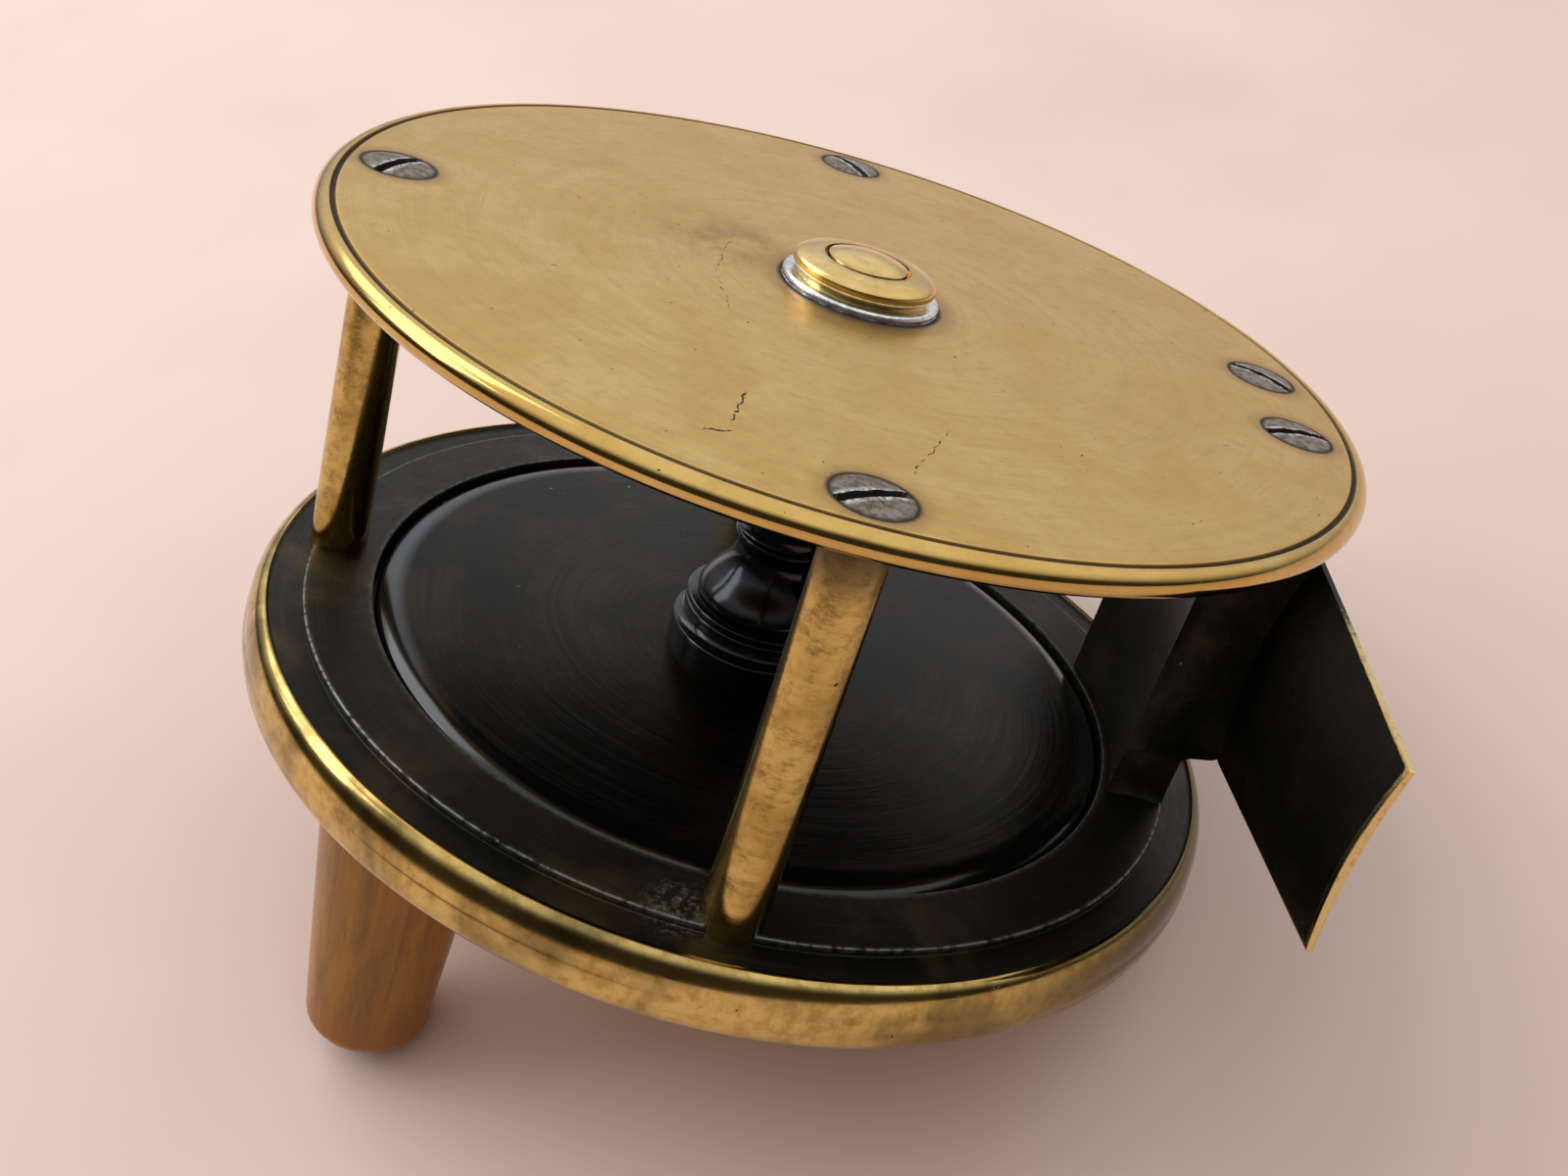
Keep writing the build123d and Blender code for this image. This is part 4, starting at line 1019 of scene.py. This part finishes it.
def block_grid():
    """The block: an outline carried from the ring to the back plate.

    Its inner side follows the spool. Above and below the foot it is a plain post; behind the foot it comes
    forward and its flanks sweep out, both by a smooth step of the height. At the ring it has a small toe.
    """
    z = np.concatenate([[step_z], band_z + np.array([0, 0.1, 0.25, 0.5, 0.8, 1.2]),
                        np.linspace(band_z + 1.8, plate_under, 70)])[:, None]
    low = np.clip((z - flare_low) / flare_run, 0, 1)
    high = np.clip((flare_high - z) / flare_run, 0, 1)
    flare = low ** 2 * (3 - 2 * low) * high ** 2 * (3 - 2 * high)
    toe = block_toe * np.clip(1 - (z - band_z) / 1.2, 0, 1) ** 2
    outer = block_neck + (block_seat - block_neck) * flare
    outer_half = block_half + (seat_half - block_half) * flare
    inner_angle = math.asin(block_half / block_inner)
    sweep = np.linspace(-inner_angle, inner_angle, 25)[None, :]
    share = np.linspace(0, 1, 17)[None, 1:]
    inner_x = block_inner * math.cos(inner_angle)
    flank_x = inner_x + (outer - inner_x) * share
    flank_y = block_half + (outer_half - block_half) * share ** 1.8
    flank_y = flank_y - block_cove * np.sin(np.pi * share) + toe
    across = np.linspace(1, -1, 20)[None, 1:-1]
    rows = np.ones_like(z)
    inner_side = block_inner * np.stack([np.cos(sweep) * rows, np.sin(sweep) * rows])
    x = np.hstack([inner_side[0], flank_x, outer * np.ones_like(across), flank_x[:, ::-1]])
    y = np.hstack([inner_side[1], flank_y, outer_half * across, -flank_y[:, ::-1]])
    grid = np.stack([x, y, z * np.ones_like(x)], -1)
    return np.concatenate([np.ones_like(grid[:1]) * grid[:1].mean(1, keepdims=True), grid,
                           np.ones_like(grid[:1]) * grid[-1:].mean(1, keepdims=True)])


def block_bright(points):
    """A little rubbing along the outer corners, beside the foot's seat."""
    outer = np.hypot(points[:, 0] - block_seat, np.abs(points[:, 1]) - seat_half)
    return 0.35 * (1 - np.clip(outer / 0.4, 0, 1))


make_piece("foot_block", [block_grid()], foot_brass, "root", ["foot_bracket"],
           marks={"bright": block_bright})

# ==== Handle ====
# A tapered grip turned from horn on a steel peg, with a steel washer at its root and a riveted end. The
# horn is amber and grey brown, streaked along its length and darker at the tip.

grip_low, grip_high = reel_box("handle_grip")
grip_spot = (grip_low[:2] + grip_high[:2]) / 2
grip_top, grip_tip = grip_high[2], grip_low[2]
grip_base_radius, grip_tip_radius = (grip_high[1] - grip_low[1]) / 2 - 0.02, 6.1
base_round, tip_round, tip_recess, recess_depth, peg_hole = 0.8, 2.5, 3.9, 2.7, 2.58
grip_taper = (grip_base_radius - grip_tip_radius) / (grip_top - grip_tip)


def horn():
    """Polished horn: amber and brown streaks along the grip, fine pores, and orange at the tip."""
    material, tree, shader = new_material("horn")
    place = reel_place(tree)
    own = put(tree, "VectorMath", {0: place, 1: (*grip_spot, grip_tip)}, operation="SUBTRACT").outputs[0]
    streaked = put(tree, "VectorMath", {0: own, 1: (1.0, 1.0, 0.07)}, operation="MULTIPLY").outputs[0]
    streaks = grain(tree, streaked, 0.55, 5.0, 0.65, 0.4)
    threads = grain(tree, streaked, 2.6, 4.0, 0.7)
    clouds = grain(tree, own, 0.09, 3.0, 0.6)
    colour = tint(tree, fade(tree, streaks, 0.30, 0.72), (0.46, 0.20, 0.022, 1), (0.25, 0.108, 0.013, 1))
    colour = tint(tree, fade(tree, threads, 0.52, 0.85), colour, (0.13, 0.058, 0.012, 1))
    colour = tint(tree, fade(tree, clouds, 0.5, 0.75), colour, (0.27, 0.13, 0.024, 1))
    height = put(tree, "SeparateXYZ", {0: own}).outputs["Z"]
    colour = tint(tree, times(tree, fade(tree, height, 9.0, 0.5), 0.7), colour, (0.38, 0.12, 0.012, 1))
    tree.links.new(colour, shader.inputs["Base Color"])
    rough = spread(tree, threads, 0.20, 0.32)
    tree.links.new(rough, shader.inputs["Roughness"])
    shader.inputs["Subsurface Weight"].default_value = 0.12
    shader.inputs["Subsurface Radius"].default_value = (0.003, 0.0015, 0.0006)
    shader.inputs["Specular IOR Level"].default_value = 0.25
    shader.inputs["Coat Weight"].default_value = 0.15
    shader.inputs["Coat Tint"].default_value = (1.0, 0.82, 0.55, 1)
    shader.inputs["Coat Roughness"].default_value = 0.2
    roughen(tree, shader, threads, 0.0001, 0.3)
    return material


slope = math.degrees(math.atan(grip_taper))
tip_centre_r = grip_tip_radius + grip_taper * tip_round - tip_round * math.sqrt(1 + grip_taper ** 2)
side_start = (grip_tip_radius + grip_taper * 4.0, grip_tip + 4.0)
side_end = (grip_base_radius - grip_taper * 2, grip_top - 2)
grip_profile = np.vstack([
    [(peg_hole, grip_tip + recess_depth), (tip_recess, grip_tip + recess_depth)],
    [(tip_recess, grip_tip + 0.2), (tip_recess + 0.2, grip_tip)],
    arc((tip_centre_r, grip_tip + tip_round), tip_round, -90, -slope, 19)[1:],
    line(side_start, side_end, 40),
    arc((grip_base_radius - grip_taper * 0.8 - base_round, grip_top - base_round), base_round, 0, 90, 11),
    [(peg_hole, grip_top)],
])
make_piece("grip_horn", [turned(grip_profile, 200, grip_spot)], horn(), "grip", ["handle_grip"],
           ring=True)

# ==== Pieces kept from the CAD ====
# The small parts and the winding side need no new shape: bright or dark steel for the screws, peg and
# check, brass for the winding plate, its nut and the front bush, each with its own wear.

work_steel = steel("work_steel", (0.56, 0.55, 0.54, 1), (0.30, 0.27, 0.24, 1), (0.22, 0.42))
spring_steel = steel("spring_steel", (0.34, 0.36, 0.42, 1), (0.18, 0.16, 0.16, 1), (0.22, 0.4))
winding_brass = brass("winding_brass", (0.66, 0.46, 0.19, 1), (0.58, 0.38, 0.12, 1), (0.42, 0.30, 0.13, 1),
                      (0.24, 0.4), patch=14.0, spots=0.25)
finishes = {
    "winding_plate": winding_brass,
    "winding_plate_nut": winding_brass,
    "front_bush": boss_brass,
    "flange_pins": boss_brass,
    "foot_rivets": winding_brass,
    "check_wheel": winding_brass,
    "check_pawl": work_steel,
    "check_pawl_screw": work_steel,
    "check_spring": spring_steel,
    "check_spring_screws": work_steel,
    "spindle": work_steel,
    "foot_screws_front": work_steel,
    "handle_washer": work_steel,
    "handle_peg": work_steel,
    "handle_end_washer": work_steel,
}
for node, finish in finishes.items():
    for slot in frame["nodes"][node].material_slots:
        slot.material = finish
